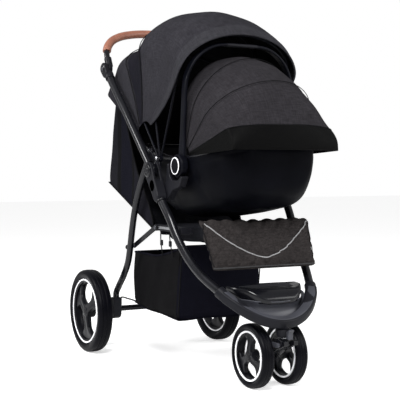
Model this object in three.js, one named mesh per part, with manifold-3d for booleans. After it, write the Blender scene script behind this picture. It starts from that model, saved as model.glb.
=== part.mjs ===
// Three-wheel stroller with a docked infant carrier. Millimetres, +Z up, the stroller rolls towards -Y.
// The right-hand side of the stroller is at -X ("_r"), the left-hand side at +X ("_l").
import * as THREE from 'three';
import { mergeVertices } from 'three/addons/utils/BufferGeometryUtils.js';
import Module from 'manifold-3d';

const wasm = await Module();
wasm.setup();

// ---------------------------------------------------------------- driving dimensions
const GAP = 0.35;                       // clearance between neighbouring pieces
const ORIGIN_SHIFT_Y = -23.98;           // puts the middle of the bounding box on the origin

const REAR_WHEEL = { r: 140, rimR: 110, rimIn: 97, width: 42, hubR: 23, track: 252, y: 380 };
const FRONT_WHEEL = { r: 92.5, rimR: 73, rimIn: 64, width: 38, hubR: 18, track: 56, y: -365 };
const WHEEL_SEGMENTS = 24;
const FLAT_DOWN = Math.PI / WHEEL_SEGMENTS;   // turns a wheel so that one tread facet lies on the ground

const HUB = { y: -55, z: 620 };         // fold axis of the handle
const LEG_PIVOT = { y: 3, z: 677 };     // fold axis of the rear legs
const CANOPY_PIVOT = { y: -50, z: 655 };
const TILT = { y: 292, z: 957 };        // height adjuster of the handlebar
const TUBE_X = 222;                     // middle plane of the handle tubes
const TUBE_R = 12.5;

const LEG_FOOT = { x: 171, y: 336, z: 178 };
const LINK_LEG = { y: 196, z: 372 };    // pivot of the link on the rear leg
const LINK_RAIL = { y: 36, z: 441 };    // sliding end of the link on the seat rail
const SWIVEL = { y: -440, top: 176, bottom: 153 };

const CARRIER_PIVOT = { y: -171, z: 633 };
const CARRIER_HOOD_PIVOT = { y: -171, z: 662 };
const CARRY_HANDLE_R = 360;
const CARRIER_HALF_WIDTH = 176;

// ---------------------------------------------------------------- finishes
function finish(color, roughness, metalness = 0) {
  return new THREE.MeshStandardMaterial({ color, roughness, metalness });
}

const MATERIALS = {
  tube: finish(0x17181b, 0.35, 0.6),
  plastic: finish(0x16171a, 0.5),
  gloss: finish(0x0b0b0d, 0.16),
  tyre: finish(0x111214, 0.75),
  rim: finish(0x1b1c20, 0.3),
  steel: finish(0x9a9da2, 0.3, 1),
  leather: finish(0x8a4b2a, 0.5),
  melange: finish(0x2c2d31, 0.95),
  fabric: finish(0x16171c, 0.95),
  quilt: finish(0x2a2a28, 0.9),
  shell: finish(0x141519, 0.3),
  cable: finish(0x101012, 0.5),
};

// ---------------------------------------------------------------- geometry helpers
const V = (x, y, z) => new THREE.Vector3(x, y, z);
const SIDES = [['r', -1], ['l', 1]];

// Shared vertices merged and faces turned outwards.
function closed(geometry) {
  const bare = geometry.clone();
  bare.deleteAttribute('normal');
  bare.deleteAttribute('uv');
  const merged = mergeVertices(bare, 1e-3);
  const p = merged.attributes.position;
  const index = Array.from(merged.index.array);
  const kept = [];
  let volume = 0;
  const [a, b, c] = [V(), V(), V()];
  for (let i = 0; i < index.length; i += 3) {
    const [u, v, w] = index.slice(i, i + 3);
    if (u === v || v === w || w === u) continue;
    kept.push(u, v, w);
    a.fromBufferAttribute(p, u);
    b.fromBufferAttribute(p, v);
    c.fromBufferAttribute(p, w);
    volume += a.dot(b.cross(c));
  }
  merged.setIndex(volume < 0 ? kept.reverse() : kept);
  merged.computeVertexNormals();
  return merged;
}

function toSolid(geometry) {
  const g = closed(geometry);
  return new wasm.Manifold(new wasm.Mesh({
    numProp: 3,
    vertProperties: new Float32Array(g.attributes.position.array),
    triVerts: new Uint32Array(g.index.array),
  }));
}

function fromSolid(solid) {
  const mesh = solid.getMesh();
  const g = new THREE.BufferGeometry();
  g.setAttribute('position', new THREE.BufferAttribute(new Float32Array(mesh.vertProperties), 3));
  g.setIndex(new THREE.BufferAttribute(new Uint32Array(mesh.triVerts), 1));
  return closed(g);
}

const join = (first, ...rest) => fromSolid(rest.reduce((s, g) => s.add(toSolid(g)), toSolid(first)));
const cut = (first, ...rest) => fromSolid(rest.reduce((s, g) => s.subtract(toSolid(g)), toSolid(first)));

// Solid through a list of rings that all have the same number of points.
function loft(rings) {
  const n = rings[0].length;
  const points = rings.flat();
  const index = [];
  for (let i = 0; i + 1 < rings.length; i += 1) {
    for (let j = 0; j < n; j += 1) {
      const [a, b] = [i * n + j, i * n + (j + 1) % n];
      index.push(a, b, b + n, a, b + n, a + n);
    }
  }
  for (const [start, flip] of [[0, true], [(rings.length - 1) * n, false]]) {
    const ring = points.slice(start, start + n);
    const centre = ring.reduce((s, q) => s.add(q), V()).divideScalar(n);
    points.push(centre);
    const c = points.length - 1;
    for (let j = 0; j < n; j += 1) {
      const [a, b] = [start + j, start + (j + 1) % n];
      index.push(...(flip ? [c, b, a] : [c, a, b]));
    }
  }
  return closed(new THREE.BufferGeometry().setFromPoints(points).setIndex(index));
}

// Thin curved sheet between two point grids of the same size.
function sheet(outer, inner) {
  const [rows, cols] = [outer.length, outer[0].length];
  const points = [...outer.flat(), ...inner.flat()];
  const at = (side, i, j) => side * rows * cols + i * cols + j;
  const index = [];
  const quad = (a, b, c, d) => index.push(a, b, c, a, c, d);
  for (let i = 0; i + 1 < rows; i += 1) {
    for (let j = 0; j + 1 < cols; j += 1) {
      quad(at(0, i, j), at(0, i + 1, j), at(0, i + 1, j + 1), at(0, i, j + 1));
      quad(at(1, i, j), at(1, i, j + 1), at(1, i + 1, j + 1), at(1, i + 1, j));
    }
  }
  for (let i = 0; i + 1 < rows; i += 1) {
    quad(at(0, i, 0), at(1, i, 0), at(1, i + 1, 0), at(0, i + 1, 0));
    quad(at(0, i, cols - 1), at(0, i + 1, cols - 1), at(1, i + 1, cols - 1), at(1, i, cols - 1));
  }
  for (let j = 0; j + 1 < cols; j += 1) {
    quad(at(0, 0, j), at(0, 0, j + 1), at(1, 0, j + 1), at(1, 0, j));
    quad(at(0, rows - 1, j), at(1, rows - 1, j), at(1, rows - 1, j + 1), at(0, rows - 1, j + 1));
  }
  return closed(new THREE.BufferGeometry().setFromPoints(points).setIndex(index));
}

function circle(a, b, r, sides) {
  const step = Math.PI * 2 / sides;
  const point = (angle) => new THREE.Vector2(a + r * Math.cos(angle), b + r * Math.sin(angle));
  return Array.from({ length: sides }, (_, k) => point(k * step));
}

const spline = (points) => new THREE.CatmullRomCurve3(points, false, 'centripetal');

// Round bar or pipe along a smooth line.
function tube(points, radius, { steps = 12, sides = 8, bore = 0 } = {}) {
  const section = new THREE.Shape(circle(0, 0, radius, sides));
  if (bore) section.holes.push(new THREE.Path(circle(0, 0, bore, sides).reverse()));
  const options = { steps, extrudePath: spline(points), bevelEnabled: false };
  return new THREE.ExtrudeGeometry(section, options);
}

// Bar with a rounded-rectangle section, its height kept along the given "up" direction.
function bar(points, width, height, { steps = 12, up = V(0, 0, 1), corner = 0.3 } = {}) {
  const line = spline(points);
  const [w, h] = [width / 2, height / 2];
  const k = Math.min(w, h) * 2 * corner;
  const outline = [
    [w, -h + k], [w, h - k], [w - k, h], [-w + k, h],
    [-w, h - k], [-w, -h + k], [-w + k, -h], [w - k, -h],
  ];
  const rings = [];
  for (let i = 0; i <= steps; i += 1) {
    const [p, t] = [line.getPointAt(i / steps), line.getTangentAt(i / steps)];
    const across = t.clone().cross(up).normalize();
    const rise = across.clone().cross(t).normalize();
    rings.push(outline.map(([a, b]) => p.clone().addScaledVector(across, a).addScaledVector(rise, b)));
  }
  return loft(rings);
}

// Outline drawn in the Y-Z plane and given a thickness along X.
function plateX(shape, x0, x1, curveSegments = 6) {
  const [low, high] = [Math.min(x0, x1), Math.max(x0, x1)];
  const g = new THREE.ExtrudeGeometry(shape, { depth: high - low, bevelEnabled: false, curveSegments });
  g.applyMatrix4(new THREE.Matrix4().set(0, 0, 1, low, 1, 0, 0, 0, 0, 1, 0, 0, 0, 0, 0, 1));
  return g;
}

const disc = (y, z, r, sides = 14) => new THREE.Shape(circle(y, z, r, sides));
const hole = (y, z, r, sides = 12) => new THREE.Path(circle(y, z, r, sides).reverse());

// Two round ends joined by straight sides, in the Y-Z plane.
function link(a, b, ra, rb = ra) {
  const angle = Math.atan2(b.z - a.z, b.y - a.y);
  const shape = new THREE.Shape();
  shape.absarc(a.y, a.z, ra, angle + Math.PI / 2, angle + Math.PI * 1.5);
  shape.absarc(b.y, b.z, rb, angle - Math.PI / 2, angle + Math.PI / 2);
  shape.closePath();
  return shape;
}

// Straight-sided outline, always counter-clockwise so that holes can be cut in it.
function polygon(points) {
  const corners = points.map(([a, b]) => new THREE.Vector2(a, b));
  return new THREE.Shape(THREE.ShapeUtils.isClockWise(corners) ? corners.reverse() : corners);
}

// Turned part about an axis along X: profile points are [radius, x].
function turnedX(profile, y, z, segments = 16) {
  const g = new THREE.LatheGeometry(profile.map(([r, x]) => new THREE.Vector2(r, x)), segments);
  g.rotateZ(-Math.PI / 2);
  return g.translate(0, y, z);
}

// Turned part about a vertical axis: profile points are [radius, z].
function turnedZ(profile, x, y, segments = 16) {
  const g = new THREE.LatheGeometry(profile.map(([r, z]) => new THREE.Vector2(r, z)), segments);
  g.rotateX(Math.PI / 2);
  return g.translate(x, y, 0);
}

const rodX = (r, x0, x1, y, z, segments = 12) => turnedX([[0, x0], [r, x0], [r, x1], [0, x1]], y, z, segments);

function box(x0, x1, y0, y1, z0, z1) {
  const g = new THREE.BoxGeometry(Math.abs(x1 - x0), Math.abs(y1 - y0), Math.abs(z1 - z0));
  return g.translate((x0 + x1) / 2, (y0 + y1) / 2, (z0 + z1) / 2);
}

const lerp = THREE.MathUtils.lerp;

// Value of a curve given as [[position, value], ...] at a position.
function along(table, t) {
  const i = table.findIndex(([at]) => at >= t);
  if (i <= 0) return table[i === 0 ? 0 : table.length - 1][1];
  const [[t0, v0], [t1, v1]] = [table[i - 1], table[i]];
  return lerp(v0, v1, (t - t0) / (t1 - t0));
}

const stroller = new THREE.Group();
stroller.position.y = ORIGIN_SHIFT_Y;

function add(name, geometry, material) {
  const mesh = new THREE.Mesh(closed(geometry), MATERIALS[material]);
  mesh.name = name;
  stroller.add(mesh);
  return mesh;
}

// ---------------------------------------------------------------- front frame
const HUB_DIRECTION = { y: -0.539, z: -0.842 };
const onFrontTube = (r) => ({ y: HUB.y + HUB_DIRECTION.y * r, z: HUB.z + HUB_DIRECTION.z * r });
const HUB_LENGTH = 108;
const TUBE_TOP = onFrontTube(HUB_LENGTH - 18);
const FRONT_TUBE_LINE = [
  [221, TUBE_TOP.y, TUBE_TOP.z], [219, -118, 523], [213, -152, 480], [206, -188, 424],
  [195, -238, 364], [180, -289, 319], [152, -352, 275],
];

function frontTube(side) {
  return tube(FRONT_TUBE_LINE.map(([x, y, z]) => V(side * x, y, z)), TUBE_R, { steps: 14 });
}

function frontArch() {
  const half = [[149, -358.5, 271], [128, -386, 249], [95, -412, 222], [50, -432, 201]];
  const line = [...half, [0, -440, 193], ...mirrored(half)];
  return bar(line.map((p) => V(...p)), 36, 28, { steps: 20, up: V(0, -0.25, 1) });
}

function footboard() {
  const stations = [
    [-318, 124, 268, 291], [-352, 116, 252, 290], [-384, 98, 250, 286],
    [-410, 78, 247, 273], [-424, 52, 246, 257],
  ];
  return loft(stations.map(([y, w, low, high]) => [
    V(-w, y, high - 4), V(-w * 0.9, y, low), V(0, y, low - 3), V(w * 0.9, y, low),
    V(w, y, high - 4), V(w * 0.96, y, high), V(0, y, high + 2), V(-w * 0.96, y, high),
  ]));
}

// Fork-shaped hub: two ears round the handle's eye, a sleeve for the front tube, and a bracket
// that carries the rear leg and the canopy.
const EYE = { inner: 215.2, outer: 228.8, r: 24 };
const BRACKET = { inner: 201.8, outer: 207.8 };

function hubBody(side) {
  const low = onFrontTube(HUB_LENGTH - 15);
  const high = onFrontTube(52);
  const ear = link(HUB, onFrontTube(56), 26, 18);
  ear.holes.push(hole(HUB.y, HUB.z, 6));
  const bracket = link(HUB, LEG_PIVOT, 20, 12);
  bracket.holes.push(hole(HUB.y, HUB.z, 6));
  const canopyLug = link({ y: HUB.y + 6, z: HUB.z + 10 }, CANOPY_PIVOT, 18, 14);
  canopyLug.holes.push(hole(HUB.y, HUB.z, 6));
  const s = (x) => side * x;
  const socketTop = onFrontTube(HUB_LENGTH - 18 - 1);
  const socketLine = [V(s(221), socketTop.y, socketTop.z), V(s(219), -118, 523), V(s(213), -152, 480)];
  const socket = tube(socketLine, TUBE_R + 0.8, { steps: 5 });
  return cut(join(
    plateX(link(high, low, 18, 16), s(205), s(238)),
    plateX(ear, s(205), s(EYE.inner - GAP)),
    plateX(ear, s(EYE.outer + GAP), s(238)),
    plateX(bracket, s(BRACKET.inner), s(BRACKET.outer)),
    plateX(canopyLug, s(BRACKET.inner + 3.2), s(BRACKET.outer)),
    rodX(5.5, s(194), s(BRACKET.inner + 2), LEG_PIVOT.y, LEG_PIVOT.z),
    rodX(5, s(188), s(BRACKET.inner + 5), CANOPY_PIVOT.y, CANOPY_PIVOT.z),
  ), socket);
}

function hubCover(side) {
  const x = (value) => side * value;
  const seat = x(238 + GAP);
  const profile = [[0, x(203)], [5.6, x(203)], [5.6, seat], [21, seat], [18, x(243)], [0, x(244)]];
  return turnedX(profile, HUB.y, HUB.z, 16);
}

// ---------------------------------------------------------------- seat on the frame
const RAIL = { inner: 151, outer: 163.3, low: 431, high: 451, front: -188, rear: 52 };

function seatRail(side) {
  const s = (x) => side * x;
  return join(
    box(s(RAIL.inner), s(RAIL.outer), RAIL.front, RAIL.rear, RAIL.low, RAIL.high),
    box(s(RAIL.outer - 2), s(194), RAIL.front, RAIL.front + 18, RAIL.low, RAIL.high),
  );
}

function seatBase() {
  const side = polygon([[-256, 440], [-250, 466], [-200, 464], [28, 452], [34, 424], [20, 398], [-240, 408]]);
  return plateX(side, -147, 147);
}

function backrest() {
  const panel = polygon([[46, 404], [62, 426], [418, 581], [424, 594], [416, 603], [120, 490], [40, 436], [36, 412]]);
  return plateX(panel, -150, 150);
}

// Rear wall and side panels of the seat, open towards the front and towards the canopy.
function seatWall() {
  const outline = [
    [326, 905], [360, 914], [394, 800], [412, 689], [434, 596],
    [428, 583], [238, 506], [60, 432], [72, 470], [128, 552], [186, 620],
  ];
  const outer = plateX(polygon(outline), -162.5, 162.5);
  const inside = [
    [226, 960], [350, 930], [388, 800], [406, 686], [428, 597],
    [425, 575], [238, 490], [-40, 370], [-40, 700],
  ];
  return cut(outer, plateX(polygon(inside), -158.5, 158.5));
}

function legrest() {
  const stations = [
    [-262, 480, 190, 16], [-282, 468, 197, 24], [-306, 420, 194, 26],
    [-330, 372, 189, 26], [-346, 338, 184, 20], [-348, 330, 178, 10],
  ];
  return loft(stations.map(([y, z, w, t], i) => {
    const [ny, nz] = i === 0 ? [-0.3, 0.95] : [-0.91, 0.41];
    const back = V(0, y - ny * t / 2, z - nz * t / 2);
    const front = V(0, y + ny * t / 2, z + nz * t / 2);
    return [
      V(-w + 8, back.y, back.z), V(w - 8, back.y, back.z), V(w, y, z),
      V(w - 10, front.y, front.z), V(-w + 10, front.y, front.z), V(-w, y, z),
    ];
  }));
}

function basket() {
  const side = [[268, 345], [262, 178], [197, 168], [-72, 158], [-102, 388], [-20, 362], [90, 348]];
  const hollow = [[264, 420], [258, 182], [196, 172], [-68, 162], [-98, 420]];
  const outside = plateX(polygon(side), -150, 150);
  const inside = plateX(polygon(hollow), -146, 146);
  return cut(outside, inside);
}

// Arm on the hub whose hook holds the carrier.
function adapter(side) {
  const hook = polygon([
    [-82, 560], [-116, 528], [-150, 560], [-196, 572], [-214, 600], [-206, 604],
    [-186, 590], [-150, 590], [-132, 606], [-128, 640], [-118, 640], [-112, 590],
  ]);
  return plateX(hook, side * 181, side * 204.6);
}

// ---------------------------------------------------------------- handle
const HANDLE_LINE = [[11, 683], [70, 740], [146, 813], [209, 871], [252, 911], [276, 937]];

function handleTube(side) {
  const eye = disc(HUB.y, HUB.z, EYE.r);
  eye.holes.push(hole(HUB.y, HUB.z, 6));
  const neck = { y: HUB.y + 40, z: HUB.z + 39 };
  const web = link({ y: HUB.y + 16, z: HUB.z + 15.5 }, neck, 9);
  const x = side * TUBE_X;
  const line = [V(x, HUB.y + 29, HUB.z + 28), ...HANDLE_LINE.map(([y, z]) => V(x, y, z))];
  const s = (value) => side * value;
  return join(
    plateX(eye, s(EYE.inner), s(EYE.outer)),
    plateX(web, s(EYE.inner), s(EYE.outer)),
    tube(line, TUBE_R, { steps: 10 }),
  );
}

const ADJUSTER = { inner: 222.4, outer: 238, buttonIn: 226, buttonOut: 241 };

function handleJoint(side) {
  const s = (x) => side * x;
  const end = { y: 279.5, z: 941 };
  const cap = link(end, TILT, 16, 20);
  const body = plateX(cap, s(ADJUSTER.inner), s(ADJUSTER.outer));
  const socket = plateX(link(end, { y: end.y + 3, z: end.z + 4 }, 15), s(208.5), s(ADJUSTER.inner + 2));
  const clear = plateX(disc(TILT.y, TILT.z, 22), s(200), s(ADJUSTER.inner));
  const pocket = rodX(8.4, s(ADJUSTER.buttonIn - 3.6), s(245), TILT.y, TILT.z, 16);
  const tubeEnd = tube([V(s(TUBE_X), 252, 911), V(s(TUBE_X), 276.2, 937.2)], TUBE_R + GAP, { steps: 1 });
  return cut(join(body, socket), clear, pocket, tubeEnd);
}

function handleButton(side) {
  return rodX(8, side * ADJUSTER.buttonIn, side * ADJUSTER.buttonOut, TILT.y, TILT.z, 12);
}

const GRIP_STEPS = 26;
const GRIP_HALF = [
  [212, 314, 1003], [204, 330, 1031], [180, 350, 1057],
  [140, 370, 1077], [92, 384, 1089], [46, 391, 1095],
];
const mirrored = (half) => half.slice().reverse().map(([x, y, z]) => [-x, y, z]);
const GRIP_LINE = [...GRIP_HALF, [0, 393, 1097], ...mirrored(GRIP_HALF)];

function handlebar() {
  const eyes = [-1, 1].map((s) => plateX(disc(TILT.y, TILT.z, 19), s * 208.5, s * 221.8));
  const stubLine = (s) => [V(s * 212, 293, 966), V(s * 212, 302, 982), V(s * 211.8, 316, 1006.5)];
  const stubs = [-1, 1].map((s) => tube(stubLine(s), 9.6, { steps: 2 }));
  return join(gripTube(9.2, 0), ...eyes, ...stubs);
}

// The bar and its sleeve share one line, so the clearance between them is even.
function gripTube(radius, trim) {
  const line = spline(GRIP_LINE.map((p) => V(...p)));
  const frames = line.computeFrenetFrames(GRIP_STEPS);
  const rings = [];
  for (let i = trim; i <= GRIP_STEPS - trim; i += 1) {
    const centre = line.getPointAt(i / GRIP_STEPS);
    rings.push(circle(0, 0, radius, 8).map((c) => centre.clone()
      .addScaledVector(frames.normals[i], c.x).addScaledVector(frames.binormals[i], c.y)));
  }
  return loft(rings);
}

const handleGrip = () => cut(gripTube(13.6, 1), gripTube(9.2 + GAP, 0));

// ---------------------------------------------------------------- rear legs
function rearLeg(side) {
  const s = (x) => side * x;
  const eye = disc(LEG_PIVOT.y, LEG_PIVOT.z, 12);
  eye.holes.push(hole(LEG_PIVOT.y, LEG_PIVOT.z, 6));
  const near = { y: LEG_PIVOT.y + 12, z: LEG_PIVOT.z - 11 };
  const web = link(near, { y: near.y + 18, z: near.z - 19 }, 7);
  const line = [
    [195, 22, 657], [193, 60, 615], [189, 110, 555], [186, 150, 490], [183, 178, 425], [181, 198, 366],
    [179, 220, 316], [176, 262, 268], [172, 312, 226], [LEG_FOOT.x, LEG_FOOT.y, 200],
    [LEG_FOOT.x, LEG_FOOT.y, LEG_FOOT.z + 0.6],
  ];
  return join(
    plateX(eye, s(195), s(201.4)),
    plateX(web, s(195), s(201.4)),
    tube(line.map(([x, y, z]) => V(s(x), y, z)), 11, { steps: 15 }),
  );
}

function axleHousing(side) {
  const shape = polygon([
    [318, LEG_FOOT.z], [352, LEG_FOOT.z], [372, 160], [398, 158],
    [402, 126], [386, 118], [340, 112], [322, 124],
  ]);
  shape.holes.push(hole(REAR_WHEEL.y, REAR_WHEEL.r, 6.4));
  return plateX(shape, side * 157, side * 185);
}

const rearAxle = () => rodX(6, -268, 268, REAR_WHEEL.y, REAR_WHEEL.r, 12);

function legLink(side) {
  const shape = link(LINK_LEG, LINK_RAIL, 8);
  shape.holes.push(hole(LINK_RAIL.y, LINK_RAIL.z, 3));
  return plateX(shape, side * 163.8, side * 169, 5);
}

function brakePedal() {
  const sleeve = disc(REAR_WHEEL.y, REAR_WHEEL.r, 13);
  sleeve.holes.push(hole(REAR_WHEEL.y, REAR_WHEEL.r, 6.4));
  const pad = polygon([[390, 146], [438, 158], [446, 152], [442, 146], [392, 134]]);
  return join(plateX(sleeve, -18, 18), plateX(pad, -36, 36));
}

function brakeCable() {
  const half = [[153.5, 366, 168], [144, 352, 182], [120, 344, 176], [70, 350, 160]];
  const line = [...half, [0, 354, 157], ...mirrored(half)];
  return tube(line.map((p) => V(...p)), 2.5, { steps: 24, sides: 6 });
}

// ---------------------------------------------------------------- wheels
// A wheel's turned ring, standing with a facet at the bottom.
function wheelRing(wheel, x, profile) {
  const g = turnedX(profile.map(([r, d]) => [r, x + d]), 0, 0, WHEEL_SEGMENTS);
  g.rotateX(FLAT_DOWN);
  return g.translate(0, wheel.y, wheel.r);
}

function tyre(wheel, x) {
  const [h, inner] = [wheel.width / 2, wheel.rimR + GAP];
  const tread = wheel.r / Math.cos(FLAT_DOWN);
  const half = [[inner, h * 0.72], [wheel.r * 0.93, h], [wheel.r * 0.985, h * 0.7], [tread, h * 0.35]];
  const profile = [...half, ...half.slice().reverse().map(([r, d]) => [r, -d]), half[0]];
  return wheelRing(wheel, x, profile);
}

function rim(wheel, x, side) {
  const h = wheel.width / 2;
  const [seat, lip] = [h * 0.72, h * 0.62];
  const [low, high] = [wheel.rimIn, wheel.rimR];
  const ring = [[low, -lip], [high, -seat], [high, seat], [low, lip], [low, -lip]];
  const parts = [wheelRing(wheel, x, ring)];
  parts.push(rodX(wheel.hubR, x - h * 0.9, x + h * 0.9, wheel.y, wheel.r, 12));
  for (let k = 0; k < 3; k += 1) {
    const angle = Math.PI / 2 + k * Math.PI * 2 / 3;
    const [c, s] = [Math.cos(angle), Math.sin(angle)];
    const at = (radial, across) => [wheel.y + c * radial - s * across, wheel.r + s * radial + c * across];
    const reach = wheel.rimIn + 3;
    const half = [[wheel.hubR * 0.6, 9], [reach * 0.62, 8], [reach, 26]];
    const outline = [...half.map(([r, a]) => at(r, -a)), ...half.slice().reverse().map(([r, a]) => at(r, a))];
    const spoke = polygon(outline);
    parts.push(plateX(spoke, x - h * 0.2 + side * 4, x + h * 0.5 * side + side * 2));
  }
  const bore = rodX(6.4, x - wheel.width, x + wheel.width, wheel.y, wheel.r, 12);
  return cut(join(...parts), bore);
}

function addWheels(prefix, wheel) {
  for (const [tag, side] of SIDES) {
    add(`${prefix}_tyre_${tag}`, tyre(wheel, side * wheel.track), 'tyre');
    add(`${prefix}_rim_${tag}`, rim(wheel, side * wheel.track, side), 'rim');
  }
}

// ---------------------------------------------------------------- front swivel
function swivelHousing() {
  const { y, top, bottom } = SWIVEL;
  return turnedZ([[8.6, bottom], [21, bottom], [24, top - 8], [24, top], [8.6, top], [8.6, bottom]], 0, y, 16);
}

function frontFork() {
  const stem = turnedZ([[0, 140], [8, 140], [8, SWIVEL.top - 3], [0, SWIVEL.top - 3]], 0, SWIVEL.y, 12);
  const crown = plateX(polygon([
    [-478, 134], [-478, 146], [-462, 146], [-456, 149.4], [-420, 149.4],
    [-416, 142.5], [-398, 134], [-394, 110], [-412, 112], [-452, 124],
  ]), -24, 24);
  const leg = plateX(link({ y: -422, z: 128 }, { y: FRONT_WHEEL.y, z: FRONT_WHEEL.r }, 17, 16), -22, 22);
  const bore = rodX(6.4, -40, 40, FRONT_WHEEL.y, FRONT_WHEEL.r, 12);
  const notch = box(-8.6, 8.6, -490, -464, 120, 160);
  return cut(join(stem, crown, leg), bore, notch);
}

const frontAxle = () => rodX(6, -71, 71, FRONT_WHEEL.y, FRONT_WHEEL.r, 12);

function swivelLock() {
  const side = [[-476, 150], [-476, 168], [-482, 176], [-478, 179], [-465, 170], [-465, 150]];
  return plateX(polygon(side), -8, 8);
}

// ---------------------------------------------------------------- fabric fans (canopies)
// Arch across X at one opening angle: straight sides up to "square" of the height, then a round crown.
function archPoint(s, { halfWidth, height, square, start }) {
  const a = Math.abs(s);
  const sideShare = 0.42;
  if (a > 1 - sideShare) {
    const t = (1 - a) / sideShare;
    return { x: Math.sign(s) * halfWidth, r: lerp(start, height * square, t) };
  }
  const phi = (a / (1 - sideShare)) * Math.PI / 2;
  return { x: Math.sign(s) * halfWidth * Math.sin(phi), r: height * (square + (1 - square) * Math.cos(phi)) };
}

function fan(shape, offset, rows, cols) {
  const grid = [];
  for (let i = 0; i <= rows; i += 1) {
    const line = [];
    for (let j = 0; j <= cols; j += 1) {
      const s = -1 + 2 * j / cols;
      const t = i / rows;
      const angle = THREE.MathUtils.degToRad(lerp(shape.from(s), shape.to(s), t));
      const deg = THREE.MathUtils.radToDeg(angle);
      const p = archPoint(s, {
        halfWidth: shape.halfWidth - offset,
        height: along(shape.height, deg) - offset,
        square: along(shape.square, deg),
        start: shape.start,
      });
      line.push(V(p.x, shape.pivot.y + p.r * Math.cos(angle), shape.pivot.z + p.r * Math.sin(angle)));
    }
    grid.push(line);
  }
  return grid;
}

const CANOPY = {
  pivot: CANOPY_PIVOT,
  halfWidth: 204,
  start: 62,
  height: [
    [30, 524], [42, 522], [50, 494], [58, 478], [64, 482], [72, 500], [90, 472], [104, 434], [118, 398],
  ],
  square: [[36, 0.8], [60, 0.76], [90, 0.68], [118, 0.62]],
  from: () => 36,
  to: (s) => 116 + 11 * s * s,
};

const CARRIER_HOOD = {
  pivot: CARRIER_HOOD_PIVOT,
  halfWidth: 174,
  start: 30,
  height: [[78, 296], [100, 300], [130, 310], [150, 318], [172, 304]],
  square: [[78, 0.36], [130, 0.44], [150, 0.6], [172, 0.92]],
  from: () => 84,
  to: () => 172,
};

const CANOPY_CLOTH = 2.4;
const HOOD_CLOTH = 3;
const canopyFabric = () => sheet(fan(CANOPY, 0, 11, 16), fan(CANOPY, CANOPY_CLOTH, 11, 16));
const carrierHood = () => sheet(fan(CARRIER_HOOD, 0, 8, 14), fan(CARRIER_HOOD, HOOD_CLOTH, 8, 14));

// Flat U-shaped bow that lies just inside the fabric at one opening angle.
function bow(shape, angle, depth, { hubR = 10, boreR = 5.4, width = 8, thick = 3.2, cols = 16 } = {}) {
  const radians = THREE.MathUtils.degToRad(angle);
  const square = along(shape.square, angle);
  const dir = V(0, Math.cos(radians), Math.sin(radians));
  const line = (offset) => {
    const height = along(shape.height, angle) - offset;
    const form = { halfWidth: shape.halfWidth - offset, height, square, start: 0 };
    return Array.from({ length: cols + 1 }, (_, j) => archPoint(-1 + 2 * j / cols, form));
  };
  const normal = V(0, -dir.z, dir.y).multiplyScalar(width / 2);
  const pivot = (x) => V(x, shape.pivot.y, shape.pivot.z);
  const place = ({ x, r }, n) => pivot(x).addScaledVector(dir, r).addScaledVector(normal, n);
  const [outer, inner] = [line(depth), line(depth + thick)];
  const strip = sheet([outer.map((p) => place(p, -1)), outer.map((p) => place(p, 1))],
    [inner.map((p) => place(p, -1)), inner.map((p) => place(p, 1))]);
  const eyes = [-1, 1].map((s) => {
    const eye = disc(shape.pivot.y, shape.pivot.z, hubR);
    return plateX(eye, s * (shape.halfWidth - depth - thick), s * (shape.halfWidth - depth));
  });
  const whole = join(strip, ...eyes);
  return boreR ? cut(whole, rodX(boreR, -260, 260, shape.pivot.y, shape.pivot.z, 12)) : whole;
}

function carrierHoodBow() {
  return bow(CARRIER_HOOD, 91, HOOD_CLOTH + 2.4, { hubR: 5, boreR: 0, width: 6, cols: 14 });
}
const canopyBow = (angle, layer) => bow(CANOPY, angle, CANOPY_CLOTH + 2.6 + layer * 3.6);

// ---------------------------------------------------------------- infant carrier
// Bowl of the carrier: [y, half width at the rim, rim height, base height]
const BOWL = [
  [-426, 92, 686, 655], [-410, 118, 685, 570], [-382, 140, 683, 538], [-345, 156, 677, 514],
  [-280, 170, 667, 502], [-171, CARRIER_HALF_WIDTH, 656, 486], [-60, 174, 656, 476],
  [40, 168, 672, 500], [120, 158, 692, 548], [170, 140, 704, 610], [188, 112, 706, 672],
];

function bowl(inset, lift, raise) {
  return loft(BOWL.map(([y, w, rim, base], i) => {
    const end = i === 0 ? inset : i === BOWL.length - 1 ? -inset : 0;
    const [hw, low, top] = [w - inset, Math.min(base + lift, rim - 4), rim + raise];
    const waist = lerp(low, rim, 0.45);
    const floor = hw * 0.72;
    const shoulder = lerp(low, rim, 0.9);
    const half = [[hw, top], [hw, shoulder], [hw * 0.94, waist], [floor, low + 8], [floor * 0.6, low]];
    const left = half.map(([x, z]) => V(-x, y + end, z));
    const right = half.slice().reverse().map(([x, z]) => V(x, y + end, z));
    return [...left, ...right];
  }));
}

const carrierShell = () => cut(bowl(0, 0, 0), bowl(7, 8, 30));
const carrierLiner = () => cut(bowl(7 + GAP, 8 + GAP, -10), bowl(24, 34, 30));

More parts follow.
